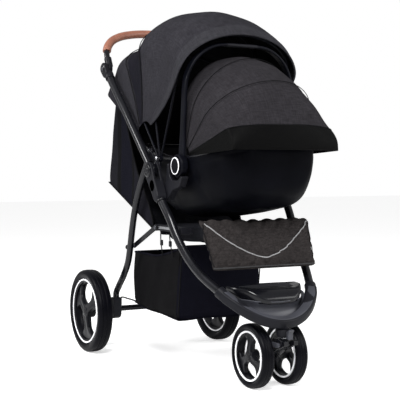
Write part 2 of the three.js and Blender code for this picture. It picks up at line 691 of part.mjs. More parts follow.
// Flat strap bent to a U in a leaning plane, with a round eye and a button pocket at each end.
function carryHandle() {
  const pivotX = 187;
  const thick = 9;
  const lean = THREE.MathUtils.degToRad(95);
  const along3 = V(0, Math.cos(lean), Math.sin(lean));
  const across = V(0, -Math.sin(lean), Math.cos(lean)).multiplyScalar(13);
  const outline = (offset) => {
    const corner = 132 - offset;
    const [w, h] = [pivotX - offset, CARRY_HANDLE_R + thick / 2 - offset];
    const points = [[-w, 12], [-w, (h - corner) * 0.5], [-w, h - corner]];
    for (let k = 1; k <= 4; k += 1) {
      const phi = k * Math.PI / 8;
      points.push([-w + corner * (1 - Math.cos(phi)), h - corner + corner * Math.sin(phi)]);
    }
    return [...points, ...points.slice().reverse().map(([x, r]) => [-x, r])];
  };
  const pivot = (x) => V(x, CARRIER_PIVOT.y, CARRIER_PIVOT.z);
  const place = ([x, r], n) => pivot(x).addScaledVector(along3, r).addScaledVector(across, n);
  const [outer, inner] = [outline(0), outline(thick)];
  const strap = sheet([outer.map((p) => place(p, -1)), outer.map((p) => place(p, 1))],
    [inner.map((p) => place(p, -1)), inner.map((p) => place(p, 1))]);
  const eyes = [-1, 1].map((s) => plateX(disc(CARRIER_PIVOT.y, CARRIER_PIVOT.z, 34, 20), s * 177, s * 200));
  const pockets = [-1, 1].map((s) => rodX(27.9, s * 191.8, s * 210, CARRIER_PIVOT.y, CARRIER_PIVOT.z, 20));
  const bore = rodX(7.6, -215, 215, CARRIER_PIVOT.y, CARRIER_PIVOT.z, 14);
  return cut(join(strap, ...eyes), ...pockets, bore);
}

function pivotButton(side) {
  const x = (value) => side * value;
  const pin = [[0, x(180.4)], [7.2, x(180.4)], [7.2, x(196.2)]];
  const cap = [[27.5, x(196.2)], [27.5, x(204)], [21, x(206.5)], [0, x(207)]];
  return turnedX([...pin, ...cap], CARRIER_PIVOT.y, CARRIER_PIVOT.z, 20);
}

// ---------------------------------------------------------------- assembly
for (const [tag, side] of SIDES) {
  add(`front_tube_${tag}`, frontTube(side), 'tube');
  add(`hub_body_${tag}`, hubBody(side), 'plastic');
  add(`hub_cover_${tag}`, hubCover(side), 'plastic');
  add(`seat_rail_${tag}`, seatRail(side), 'plastic');
  add(`carrier_adapter_${tag}`, adapter(side), 'plastic');
  add(`handle_tube_${tag}`, handleTube(side), 'tube');
  add(`handle_joint_${tag}`, handleJoint(side), 'plastic');
  add(`handle_button_${tag}`, handleButton(side), 'plastic');
  add(`rear_leg_${tag}`, rearLeg(side), 'tube');
  add(`axle_housing_${tag}`, axleHousing(side), 'plastic');
  add(`leg_link_${tag}`, legLink(side), 'tube');
  add(`carry_pivot_button_${tag}`, pivotButton(side), 'gloss');
}
add('front_arch', frontArch(), 'plastic');
add('footboard', footboard(), 'gloss');
add('seat_base', seatBase(), 'fabric');
add('backrest', backrest(), 'fabric');
add('seat_wall', seatWall(), 'fabric');
add('legrest', legrest(), 'quilt');
add('basket', basket(), 'fabric');
add('handlebar', handlebar(), 'tube');
add('handle_grip', handleGrip(), 'leather');
add('rear_axle', rearAxle(), 'steel');
add('brake_pedal', brakePedal(), 'plastic');
add('brake_cable', brakeCable(), 'cable');
addWheels('rear', REAR_WHEEL);
addWheels('front', FRONT_WHEEL);
add('swivel_housing', swivelHousing(), 'plastic');
add('front_fork', frontFork(), 'gloss');
add('front_axle', frontAxle(), 'steel');
add('swivel_lock', swivelLock(), 'plastic');
add('canopy_fabric', canopyFabric(), 'melange');
add('canopy_bow_rear', canopyBow(48, 0), 'plastic');
add('canopy_bow_middle', canopyBow(76, 1), 'plastic');
add('canopy_bow_front', canopyBow(114, 2), 'plastic');
add('carrier_shell', carrierShell(), 'shell');
add('carrier_liner', carrierLiner(), 'fabric');
add('carrier_hood', carrierHood(), 'melange');
add('carrier_hood_bow', carrierHoodBow(), 'plastic');
add('carry_handle', carryHandle(), 'gloss');

export default stroller;
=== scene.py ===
"""Looks of a three-wheel stroller with a docked infant carrier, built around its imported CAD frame.

Lengths in the drawing functions are millimetres, and P() turns them into the row frame in metres.
The stroller rolls towards -Y; "_r" pieces are on its right-hand side, at -X.
"""
import math
import bmesh
import bpy
import numpy as np
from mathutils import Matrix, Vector
from mathutils.bvhtree import BVHTree


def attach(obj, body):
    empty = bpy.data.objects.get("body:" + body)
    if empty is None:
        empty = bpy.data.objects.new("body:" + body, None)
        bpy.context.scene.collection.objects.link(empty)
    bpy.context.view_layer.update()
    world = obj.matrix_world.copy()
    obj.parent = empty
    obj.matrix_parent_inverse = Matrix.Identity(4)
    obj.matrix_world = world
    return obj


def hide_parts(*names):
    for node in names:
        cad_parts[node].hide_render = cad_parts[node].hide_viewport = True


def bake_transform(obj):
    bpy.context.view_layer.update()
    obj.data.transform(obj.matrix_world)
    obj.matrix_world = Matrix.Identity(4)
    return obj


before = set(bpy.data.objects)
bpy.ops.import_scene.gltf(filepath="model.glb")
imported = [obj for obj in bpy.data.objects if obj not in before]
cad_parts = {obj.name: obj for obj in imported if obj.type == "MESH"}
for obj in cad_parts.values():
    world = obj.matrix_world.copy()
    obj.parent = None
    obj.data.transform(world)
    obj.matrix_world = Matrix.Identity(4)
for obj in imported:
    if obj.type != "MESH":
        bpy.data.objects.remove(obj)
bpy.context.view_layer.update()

MM = 0.001
ORIGIN_SHIFT_Y = -23.98
SIDES = (("r", -1), ("l", 1))


def P(x, y, z):
    """Row-frame point, in metres, of a point on the drawing."""
    return Vector((x * MM, (y + ORIGIN_SHIFT_Y) * MM, z * MM))


# ------------------------------------------------------------------ curves and outlines
def spline(points, count):
    """Smooth curve through the points (centripetal Catmull-Rom), evenly spaced along its length."""
    pts = [np.array(p, float) for p in points]
    ext = [2 * pts[0] - pts[1], *pts, 2 * pts[-1] - pts[-2]]
    dense = []
    for i in range(1, len(ext) - 2):
        a, b, c, d = ext[i - 1:i + 3]
        t1 = max(np.linalg.norm(b - a), 1e-9) ** 0.5
        t2 = t1 + max(np.linalg.norm(c - b), 1e-9) ** 0.5
        t3 = t2 + max(np.linalg.norm(d - c), 1e-9) ** 0.5
        for t in np.linspace(t1, t2, 24, endpoint=False):
            ab, bc = lerp(a, b, t / t1), lerp(b, c, (t - t1) / (t2 - t1))
            cd = lerp(c, d, (t - t2) / (t3 - t2))
            abc, bcd = lerp(ab, bc, t / t2), lerp(bc, cd, (t - t1) / (t3 - t1))
            dense.append(lerp(abc, bcd, (t - t1) / (t2 - t1)))
    dense = np.array([*dense, pts[-1]])
    length = np.concatenate([[0], np.cumsum(np.linalg.norm(np.diff(dense, axis=0), axis=1))])
    at = np.linspace(0, length[-1], count + 1)
    return np.stack([np.interp(at, length, dense[:, k]) for k in range(dense.shape[1])], axis=1)


def lerp(a, b, t):
    return a + (b - a) * t


def smooth(a, b, t):
    """0 before a, 1 after b, and an even ease between them."""
    u = np.clip((t - a) / (b - a), 0, 1)
    return u * u * (3 - 2 * u)


def table(rows, t):
    """Smooth curve through a table of (position, value)."""
    x, y = np.array(rows, float).T
    rise = np.diff(y) / np.diff(x)
    pairs = rise[:-1] * rise[1:]
    inner = np.where(pairs > 0, 2 * pairs / np.where(pairs > 0, rise[:-1] + rise[1:], 1.0), 0.0)
    slope = np.concatenate([rise[:1], inner, rise[-1:]])
    t = np.clip(t, x[0], x[-1])
    i = np.clip(np.searchsorted(x, t) - 1, 0, len(x) - 2)
    h = x[i + 1] - x[i]
    u = (t - x[i]) / h
    low = (1 + 2 * u) * (1 - u) ** 2 * y[i] + u * (1 - u) ** 2 * h * slope[i]
    return low + u * u * (3 - 2 * u) * y[i + 1] + u * u * (u - 1) * h * slope[i + 1]


def circle(r, sides):
    return [(r * math.cos(2 * math.pi * k / sides), r * math.sin(2 * math.pi * k / sides))
            for k in range(sides)]


def rounded_box(width, height, corner, steps=5):
    """Closed rounded rectangle, as (across, up) points."""
    w, h = width / 2 - corner, height / 2 - corner
    points = []
    for quarter, (cx, cy) in enumerate(((w, h), (-w, h), (-w, -h), (w, -h))):
        for k in range(steps + 1):
            a = math.pi / 2 * (quarter + k / steps)
            points.append((cx + corner * math.cos(a), cy + corner * math.sin(a)))
    return points


def rounded(points, radius, closed=True, steps=5):
    """Outline with its corners rounded."""
    pts = [Vector(p) for p in points]
    out = []
    for i, p in enumerate(pts):
        if not closed and i in (0, len(pts) - 1):
            out.append(tuple(p))
            continue
        a, b = pts[i - 1] - p, pts[(i + 1) % len(pts)] - p
        r = min(radius, a.length * 0.45, b.length * 0.45)
        start, end = p + a.normalized() * r, p + b.normalized() * r
        for k in range(steps + 1):
            t = k / steps
            out.append(tuple(start * (1 - t) ** 2 + p * 2 * t * (1 - t) + end * t * t))
    return out


def link_outline(a, b, ra, rb=None):
    """Two round ends joined by straight sides, in (y, z)."""
    rb = ra if rb is None else rb
    angle = math.atan2(b[1] - a[1], b[0] - a[0])
    ends = ((a, ra, angle + math.pi / 2), (b, rb, angle - math.pi / 2))
    return [(c[0] + r * math.cos(start + math.pi * k / 14), c[1] + r * math.sin(start + math.pi * k / 14))
            for c, r, start in ends for k in range(15)]


# ------------------------------------------------------------------ materials
def link_nodes(tree, kind, inputs=None, **settings):
    """Adds a node. A value in inputs is a number or colour, or the socket that feeds it."""
    node = tree.nodes.new(kind)
    for key, value in settings.items():
        setattr(node, key, value)
    for key, value in (inputs or {}).items():
        if isinstance(value, bpy.types.NodeSocket):
            tree.links.new(value, node.inputs[key])
        else:
            node.inputs[key].default_value = value
    return node


def noise(tree, coordinates, scale, detail=3.0, stretch=(1, 1, 1)):
    mapped = link_nodes(tree, "ShaderNodeMapping", {"Vector": coordinates, "Scale": stretch}).outputs[0]
    inputs = {"Vector": mapped, "Scale": scale, "Detail": detail}
    return link_nodes(tree, "ShaderNodeTexNoise", inputs).outputs[0]


def remap(tree, value, low, high, start=0.3, end=0.7):
    inputs = {"Value": value, "From Min": start, "From Max": end, "To Min": low, "To Max": high}
    return link_nodes(tree, "ShaderNodeMapRange", inputs).outputs[0]


def mix_colour(tree, factor, a, b):
    node = link_nodes(tree, "ShaderNodeMix", data_type="RGBA")
    for key, value in ((0, factor), (6, a), (7, b)):
        if isinstance(value, bpy.types.NodeSocket):
            tree.links.new(value, node.inputs[key])
        else:
            node.inputs[key].default_value = value
    return node.outputs[2]


def rgba(colour):
    return (*colour, 1.0)


def start_material(name, roughness, metallic=0.0, **fixed):
    material = bpy.data.materials.new(name)
    material.use_nodes = True
    tree = material.node_tree
    shader = tree.nodes["Principled BSDF"]
    shader.inputs["Metallic"].default_value = metallic
    shader.inputs["Roughness"].default_value = roughness
    for key, value in fixed.items():
        shader.inputs[key.replace("_", " ")].default_value = value
    return material, tree, shader


def finish_material(tree, shader, colour, rough, height, strength, distance):
    tree.links.new(colour, shader.inputs["Base Color"])
    tree.links.new(rough, shader.inputs["Roughness"])
    inputs = {"Height": height, "Strength": strength, "Distance": distance}
    bump = link_nodes(tree, "ShaderNodeBump", inputs)
    tree.links.new(bump.outputs[0], shader.inputs["Normal"])


def hard(name, colour, roughness, metallic=0.0, grain=900.0, bump=0.08, wear=0.35, **fixed):
    """Moulded plastic or coated metal: fine grain, slight tone changes, and paler worn edges."""
    fixed.setdefault("Specular_IOR_Level", 0.15)
    material, tree, shader = start_material(name, roughness, metallic, **fixed)
    place = link_nodes(tree, "ShaderNodeTexCoord").outputs["Object"]
    broad = noise(tree, place, 14.0)
    fine = noise(tree, place, grain, 2.0)
    lighter = tuple(c * 1.5 for c in colour)
    worn = tuple(c * 2.2 + 0.01 for c in colour)
    tone = mix_colour(tree, remap(tree, broad, 0.0, 1.0), rgba(colour), rgba(lighter))
    edge = link_nodes(tree, "ShaderNodeNewGeometry").outputs["Pointiness"]
    rubbed = remap(tree, edge, 0.0, wear, 0.53, 0.62)
    patchy = link_nodes(tree, "ShaderNodeMath", {0: rubbed, 1: noise(tree, place, 60.0)},
                        operation="MULTIPLY").outputs[0]
    tone = mix_colour(tree, patchy, tone, rgba(worn))
    rough = remap(tree, broad, roughness * 0.85, min(1.0, roughness * 1.2 + 0.02))
    finish_material(tree, shader, tone, rough, fine, bump, 0.0004)
    return material


def weave_height(tree, place, pitch):
    """Over-and-under threads: two crossed wave textures, pitch millimetres apart."""
    period = 0.314  # of a wave texture at scale 1
    waves = []
    for direction in ("X", "Y"):
        inputs = {"Vector": place, "Scale": period / (pitch * MM), "Distortion": 0.6, "Detail": 1.0}
        waves.append(link_nodes(tree, "ShaderNodeTexWave", inputs, bands_direction=direction).outputs["Fac"])
    return link_nodes(tree, "ShaderNodeMath", {0: waves[0], 1: waves[1]}, operation="ADD").outputs[0]


CLOTH_TONE = 0.62  # every woven colour is darkened by this


def cloth(name, colour, light, pitch=1.3, heather=0.5, bump=0.35, roughness=0.92, coordinates="UV", **fixed):
    """Woven fabric: threads, heathered tone along both thread directions, and soft cloudy tone."""
    fixed.setdefault("Specular_IOR_Level", 0.04)
    colour, light = (tuple(c * CLOTH_TONE for c in tone) for tone in (colour, light))
    material, tree, shader = start_material(name, roughness, **fixed)
    place = link_nodes(tree, "ShaderNodeTexCoord").outputs[coordinates]
    threads = weave_height(tree, place, pitch)
    warp = noise(tree, place, 260.0, 3.0, (1.0, 0.12, 1.0))
    weft = noise(tree, place, 260.0, 3.0, (0.12, 1.0, 1.0))
    slub = link_nodes(tree, "ShaderNodeMath", {0: warp, 1: weft}, operation="ADD").outputs[0]
    cloud = noise(tree, place, 9.0, 2.0)
    speck = remap(tree, slub, 0.0, heather, 0.8, 1.25)
    tone = mix_colour(tree, speck, rgba(colour), rgba(light))
    shade = tuple(c * 0.72 for c in colour)
    tone = mix_colour(tree, remap(tree, cloud, 0.0, 0.35), tone, rgba(shade))
    pores = tuple(c * 0.45 for c in colour)
    tone = mix_colour(tree, remap(tree, threads, 0.55, 0.0, 0.2, 1.0), tone, rgba(pores))
    rough = remap(tree, slub, roughness - 0.07, min(1.0, roughness + 0.06), 0.7, 1.3)
    finish_material(tree, shader, tone, rough, threads, bump, 0.0005)
    return material


def leather(name, colour, dark):
    material, tree, shader = start_material(name, 0.42, Coat_Weight=0.18, Coat_Roughness=0.3)
    place = link_nodes(tree, "ShaderNodeTexCoord").outputs["UV"]
    inputs = {"Vector": place, "Scale": 520.0}
    cells = link_nodes(tree, "ShaderNodeTexVoronoi", inputs, feature="DISTANCE_TO_EDGE").outputs["Distance"]
    cloud = noise(tree, place, 26.0, 4.0)
    tone = mix_colour(tree, remap(tree, cloud, 0.0, 0.8), rgba(colour), rgba(dark))
    crease = tuple(c * 0.55 for c in dark)
    tone = mix_colour(tree, remap(tree, cells, 0.55, 0.0, 0.0, 0.16), tone, rgba(crease))
    rough = remap(tree, cloud, 0.36, 0.52)
    finish_material(tree, shader, tone, rough, remap(tree, cells, 0.0, 1.0, 0.0, 0.25), 0.35, 0.0006)
    return material


MAT = {
    "powder": hard("powder_coat", (0.0045, 0.0046, 0.0062), 0.26, 0.2, 700.0, 0.05, 0.15, Coat_Weight=0.35,
                   Coat_Roughness=0.12),
    "plastic": hard("black_plastic", (0.0055, 0.0056, 0.0075), 0.42, 0.0, 1100.0, 0.16,
                    Specular_IOR_Level=0.12),
    "gloss": hard("gloss_plastic", (0.0025, 0.0026, 0.0038), 0.2, 0.0, 500.0, 0.02, 0.1,
                  Specular_IOR_Level=0.2, Coat_Weight=0.15, Coat_Roughness=0.05),
    "satin": hard("satin_plastic", (0.030, 0.031, 0.038), 0.36, 0.0, 900.0, 0.06, Specular_IOR_Level=0.35),
    "shell": hard("shell_plastic", (0.0022, 0.0024, 0.0040), 0.36, 0.0, 800.0, 0.08, 0.12,
                  Specular_IOR_Level=0.06),
    "carrier": hard("carrier_plastic", (0.0011, 0.0012, 0.0021), 0.42, 0.0, 800.0, 0.1, 0.1,
                    Specular_IOR_Level=0.03),
    "tyre": hard("tyre_rubber", (0.0018, 0.0018, 0.0030), 0.36, 0.0, 420.0, 0.12, 0.2,
                 Specular_IOR_Level=0.06),
    "rim": hard("rim_plastic", (0.0045, 0.0046, 0.0060), 0.3, 0.0, 700.0, 0.04, 0.2, Specular_IOR_Level=0.14),
    "white": hard("white_ring", (0.72, 0.72, 0.74), 0.35, 0.0, 600.0, 0.02, 0.0),
    "steel": hard("plated_steel", (0.50, 0.51, 0.53), 0.24, 1.0, 1500.0, 0.06, 0.1),
    "cable": hard("cable_sleeve", (0.010, 0.010, 0.011), 0.4, 0.0, 600.0, 0.1, 0.1),
    "melange": cloth("melange_cloth", (0.026, 0.0252, 0.0305), (0.062, 0.0603, 0.071), 1.5, 0.75),
    "melange_rim": cloth("melange_binding", (0.034, 0.0335, 0.0395), (0.074, 0.073, 0.083), 1.2, 0.7),
    "hood": cloth("hood_cloth", (0.0245, 0.0228, 0.0262), (0.058, 0.0542, 0.0615), 1.5, 0.75),
    "strip": cloth("dark_strip", (0.0105, 0.0102, 0.0150), (0.025, 0.0243, 0.033), 1.1, 0.5),
    "lining": cloth("lining_cloth", (0.0060, 0.0060, 0.0070), (0.014, 0.014, 0.016), 1.1, 0.5),
    "satin_cloth": cloth("satin_binding", (0.0013, 0.0013, 0.0014), (0.0032, 0.0033, 0.0033), 0.9, 0.4, 0.15,
                         0.55),
    "window": cloth("mesh_window", (0.020, 0.017, 0.014), (0.050, 0.043, 0.036), 2.6, 0.6, 0.5),
    "navy": cloth("navy_cloth", (0.0050, 0.0050, 0.0105), (0.0120, 0.0120, 0.0220), 1.1, 0.5, 0.25, 0.8),
    "wall_grey": cloth("wall_cloth", (0.0125, 0.0125, 0.0158), (0.0265, 0.0265, 0.032), 1.3, 0.6),
    "net": cloth("basket_net", (0.0030, 0.0029, 0.0034), (0.0135, 0.0128, 0.0150), 2.8, 0.8, 0.6, 0.7),
    "quilt": cloth("quilt_cloth", (0.026, 0.0228, 0.0228), (0.068, 0.060, 0.059), 1.4, 0.8, 0.35, 0.9,
                   "Object"),
    "pad": cloth("pad_cloth", (0.0095, 0.0098, 0.0130), (0.026, 0.0265, 0.032), 1.3, 0.6, 0.3, 0.9, "Object"),
    "piping": cloth("pale_piping", (0.42, 0.42, 0.43), (0.62, 0.62, 0.62), 0.8, 0.5, 0.3, 0.7),
    "grey_piping": cloth("grey_piping", (0.060, 0.060, 0.062), (0.11, 0.11, 0.112), 0.8, 0.5, 0.3, 0.8),
    "dark_piping": cloth("dark_piping", (0.008, 0.008, 0.009), (0.018, 0.018, 0.020), 0.8, 0.5, 0.3, 0.7),
    "webbing": cloth("webbing", (0.012, 0.012, 0.013), (0.035, 0.035, 0.037), 1.8, 0.7, 0.5, 0.7),
    "thread": cloth("thread", (0.30, 0.16, 0.08), (0.40, 0.22, 0.12), 0.6, 0.5, 0.3, 0.7),
    "leather": leather("cognac_leather", (0.30, 0.115, 0.070), (0.19, 0.066, 0.038)),
}


# ------------------------------------------------------------------ mesh pieces
def put(name, mesh, materials, body, slot=None, replaces=(), sharp=35, solid=0.0, bevel=0.0, subdivide=0,
        blend=None):
    """Finishes a mesh as a named piece: smooth shading, modifiers, materials and the body it rides on."""
    for polygon in mesh.polygons:
        polygon.use_smooth = True
    if sharp:
        mesh.set_sharp_from_angle(angle=math.radians(sharp))
    obj = bpy.data.objects.new(name, mesh)
    bpy.context.scene.collection.objects.link(obj)
    for key in ([materials] if isinstance(materials, str) else materials):
        mesh.materials.append(MAT[key])
    if solid:
        modifier = obj.modifiers.new("thickness", "SOLIDIFY")
        modifier.thickness = abs(solid) * MM
        modifier.offset = -1 if solid > 0 else 1
        if len(mesh.materials) > 1:
            modifier.material_offset = 100
    if bevel:
        modifier = obj.modifiers.new("edges", "BEVEL")
        modifier.width = bevel * MM
        modifier.segments = 3
        modifier.limit_method = "ANGLE"
        modifier.angle_limit = math.radians(40)
        modifier.harden_normals = True
    if subdivide:
        modifier = obj.modifiers.new("fine", "SUBSURF")
        modifier.levels = modifier.render_levels = subdivide
    if blend:
        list(blend)
        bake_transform(obj)
    else:
        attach(obj, body)
    if replaces:
        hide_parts(*([replaces] if isinstance(replaces, str) else replaces))
    return obj


def grid_mesh(name, grid, wrap=False, caps=False, paint=None, flip=False):
    """Mesh of a grid of points, with a UV map in metres.

    wrap closes each row into a ring, and flip turns the faces over.
    """
    grid = np.array(grid, float)
    rows, cols = grid.shape[:2]
    last = cols if wrap else cols - 1
    faces = []
    for i in range(rows - 1):
        for j in range(last):
            k = (j + 1) % cols
            face = (i * cols + j, i * cols + k, (i + 1) * cols + k, (i + 1) * cols + j)
            faces.append(face[::-1] if flip else face)
    count = len(faces)
    if caps:
        faces.append(tuple(range(cols))[::-1])
        faces.append(tuple((rows - 1) * cols + j for j in range(cols)))
    mesh = bpy.data.meshes.new(name)
    mesh.from_pydata([tuple(p) for p in grid.reshape(-1, 3)], [], faces)
    ring = np.concatenate([grid, grid[:, :1]], axis=1) if wrap else grid
    across = np.concatenate([[0], np.cumsum(np.linalg.norm(np.diff(ring, axis=1), axis=2).max(0))])
    along = np.concatenate([[0], np.cumsum(np.linalg.norm(np.diff(grid, axis=0), axis=2).max(1))])
    order = ((1, 0), (1, 1), (0, 1), (0, 0)) if flip else ((0, 0), (0, 1), (1, 1), (1, 0))
    corners = [(along[i + a], across[j + b]) for i in range(rows - 1) for j in range(last) for a, b in order]
    uv = np.zeros((len(mesh.loops), 2), np.float32)
    uv[:count * 4] = corners
    mesh.uv_layers.new(name="UVMap").data.foreach_set("uv", uv.ravel())
    if paint is not None:
        index = [paint(i / (rows - 1), j / last) for i in range(rows - 1) for j in range(last)]
        mesh.polygons.foreach_set("material_index", index + [0] * (len(faces) - count))
    mesh.validate()
    mesh.update()
    return mesh


def turn_out(mesh):
    """Faces of a closed mesh turned outwards."""
    bm = bmesh.new()
    bm.from_mesh(mesh)
    bmesh.ops.remove_doubles(bm, verts=bm.verts, dist=1e-6)
    bmesh.ops.recalc_face_normals(bm, faces=bm.faces)
    bm.to_mesh(mesh)
    bm.free()
    return mesh


def sweep_grid(line, section, up=None, scale=None):
    """Rings of a section carried along a line of points, in metres.

    Without up, the rings turn as little as possible.
    """
    line = np.array(line, float)
    tangents = np.gradient(line, axis=0)
    tangents /= np.linalg.norm(tangents, axis=1)[:, None]
    side = np.cross(tangents[0], up if up is not None else (0.31, 0.17, 0.94))
    rings = []
    for i, (p, t) in enumerate(zip(line, tangents)):
        if up is not None:
            side = np.cross(t, up)
        side = side - t * (side @ t)
        side /= np.linalg.norm(side)
        rise = np.cross(side, t)
        size = 1.0 if scale is None else scale(i / (len(line) - 1))
        wide, tall = size if isinstance(size, tuple) else (size, size)
        rings.append([p + side * a * wide * MM + rise * b * tall * MM for a, b in section])
    return np.array(rings)


def sweep(name, points, section, material, body, count=48, up=None, scale=None, **more):
    line = spline([P(*p) for p in points], count)
    mesh = turn_out(grid_mesh(name, sweep_grid(line, section, up, scale), wrap=True, caps=True))
    return put(name, mesh, material, body, **more)


def tube(name, points, radius, material, body, count=48, sides=28, **more):
    return sweep(name, points, circle(radius, sides), material, body, count, **more)


def plate(name, outline, x0, x1, material, body, bevel=1.6, **more):
    """Outline in (y, z), given a thickness along X."""
    low, high = min(x0, x1), max(x0, x1)
    n = len(outline)
    points = [P(x, y, z) for x in (low, high) for y, z in outline]
    faces = [tuple(range(n))[::-1], tuple(range(n, 2 * n))]
    faces += [(i, (i + 1) % n, (i + 1) % n + n, i + n) for i in range(n)]
    mesh = bpy.data.meshes.new(name)
    mesh.from_pydata(points, [], faces)
    return put(name, turn_out(mesh), material, body, bevel=bevel, **more)


def turned_grid(profile, place, axis="x", segments=72):
    """Rings about an axis through the point place: profile points are (radius, distance along the axis)."""
    rings = []
    for k in range(segments):
        a = 2 * math.pi * k / segments
        c, s = math.cos(a), math.sin(a)
        if axis == "x":
            rings.append([P(place[0] + d, place[1] + r * c, place[2] + r * s) for r, d in profile])
        else:
            rings.append([P(place[0] + r * c, place[1] + r * s, place[2] + d) for r, d in profile])
    return np.array(rings).transpose(1, 0, 2)


def turned(name, profile, place, material, body, axis="x", segments=72, **more):
    mesh = turn_out(grid_mesh(name, turned_grid(profile, place, axis, segments), wrap=True))
    return put(name, mesh, material, body, **more)


# ------------------------------------------------------------------ main positions, as in the CAD
REAR_WHEEL = dict(r=140, rim=110, inner=97, width=42, hub=23, track=252, y=380, inboard=1.5, turn=270)
FRONT_WHEEL = dict(r=92.5, rim=73, inner=64, width=38, hub=18, track=56, y=-365, inboard=1.0, turn=90)
HUB = (-55, 620)
LEG_PIVOT = (3, 677)
TILT = (292, 957)
CARRIER_PIVOT = (-171, 633)
SWIVEL_Y = -440


def mirrored(half, middle=()):
    return [*half, *middle, *[(-x, y, z) for x, y, z in reversed(half)]]


# ------------------------------------------------------------------ wheels
def make_wheel(prefix, tag, side, body, wheel):
    """Foam tyre with a grooved tread, deep rim with a white ring, and three forked spokes."""
    x, h, r = side * wheel["track"], wheel["width"] / 2, wheel["r"]
    place = (x, wheel["y"], r)
    half = [(wheel["rim"] + 0.5, h * 0.74), (wheel["rim"] + 5, h * 0.86), (r * 0.86, h * 0.97), (r * 0.91, h),
            (r * 0.955, h * 0.93),
            (r * 0.985, h * 0.72), (r * 0.997, h * 0.45), (r * 0.997, h * 0.33), (r * 0.988, h * 0.30),
            (r * 0.988, h * 0.24),
            (r * 0.998, h * 0.21), (r, 0)]
    near = [(a, b * side) for a, b in half]
    far = [(a, -b * side * lerp(1.0, wheel["inboard"], smooth(wheel["rim"], r * 0.86, a)))
           for a, b in reversed(half[:-1])]
    profile = rounded(near + far, 3.0, closed=False, steps=3)
    profile.append(profile[0])
    turned(f"{prefix}_tyre_smooth_{tag}", profile, place, "tyre", body, segments=96, slot="tyre",
           replaces=f"{prefix}_tyre_{tag}", sharp=50)
    lip, seat = h * 0.66, h * 0.74
    rim, inner, hub = wheel["rim"], wheel["inner"], wheel["hub"]
    ring = [(inner + 3, -h * 0.2), (inner, -lip), (rim - 5, -seat - 1), (rim - 0.2, -seat), (rim - 0.2, seat),
            (rim - 5, seat + 1), (inner, lip), (inner + 3, h * 0.2), (inner + 3, -h * 0.2)]
    turned(f"{prefix}_rim_ring_{tag}", rounded(ring, 2.2, closed=False), place, "rim", body, segments=96,
           slot="rim",
           replaces=f"{prefix}_rim_{tag}", sharp=50)
    for face in (-1, 1):
        band = [(rim - 6.4, seat * face), (rim - 6.0, (seat + 2.2) * face), (rim - 1.6, (seat + 2.2) * face),
                (rim - 1.0, seat * face)]
        turned(f"{prefix}_white_ring_{tag}_{'out' if face == side else 'in'}", band, place, "white", body,
               segments=96, slot="rim")
    d = side * h
    cap = [(0, d * 0.98), (hub * 0.30, d * 0.98), (hub * 0.34, d * 0.92), (hub * 0.62, d * 0.90),
           (hub * 0.66, d * 0.82), (hub * 0.96, d * 0.74),
           (hub, d * 0.66), (hub, -d * 0.72), (hub * 0.8, -d * 0.86), (0, -d * 0.88)]
    turned(f"{prefix}_hub_cap_{tag}", rounded(cap, 1.6, closed=False), place, "rim", body, segments=48,
           slot="rim")
    for k in range(3):
        make_spoke(f"{prefix}_spoke_{tag}_{k + 1}", wheel, x, side, math.radians(wheel["turn"] + 120 * k),
                   body)


def make_spoke(name, wheel, x, side, angle, body):
    """Forked spoke: a waisted arm, dished inwards at the hub, that spreads to the rim."""
    inner, hub, h = wheel["inner"] + 2.5, wheel["hub"], wheel["width"] / 2
    c, s = math.cos(angle), math.sin(angle)
    rows = []
    for t in np.linspace(0, 1, 25):
        r = lerp(hub * 0.7, inner, t)
        wide = lerp(0.62 * hub, 0.105 * inner + 3.5, smooth(0, 0.4, t))
        wide += 0.36 * inner * smooth(0.3, 1.0, t) ** 1.8
        arc = math.sqrt(max(r * r - wide * wide, 1)) / r
        mid = side * h * lerp(0.36, 0.10, smooth(0.0, 0.9, t))
        thick = lerp(0.42, 0.30, t) * h
        section = [(-1, -1), (-0.86, -1.25), (-0.3, -1.0), (0, -0.8), (0.3, -1.0), (0.86, -1.25), (1, -1),
                   (1.02, 0),
                   (1, 0.9), (0.8, 1.2), (0.3, 1.0), (0, 0.85), (-0.3, 1.0), (-0.8, 1.2), (-1, 0.9),
                   (-1.02, 0)]
        row = []
        for a, b in section:
            radial = r * lerp(1, arc, abs(a) ** 2)
            row.append(P(x + mid + b * thick * side, wheel["y"] + c * radial - s * a * wide,
                         wheel["r"] + s * radial + c * a * wide))
        rows.append(row)
    mesh = turn_out(grid_mesh(name, rows, wrap=True, caps=True))
    put(name, mesh, "rim", body, slot="rim", subdivide=1, sharp=60)


def make_wheels():
    for tag, side in SIDES:
        make_wheel("rear", tag, side, f"rear_wheel_{tag}", REAR_WHEEL)
        make_wheel("front", tag, side, f"front_wheel_{tag}", FRONT_WHEEL)


# ------------------------------------------------------------------ frame
HUB_DIRECTION = (-0.539, -0.842)


def on_front_tube(r):
    return HUB[0] + HUB_DIRECTION[0] * r, HUB[1] + HUB_DIRECTION[1] * r


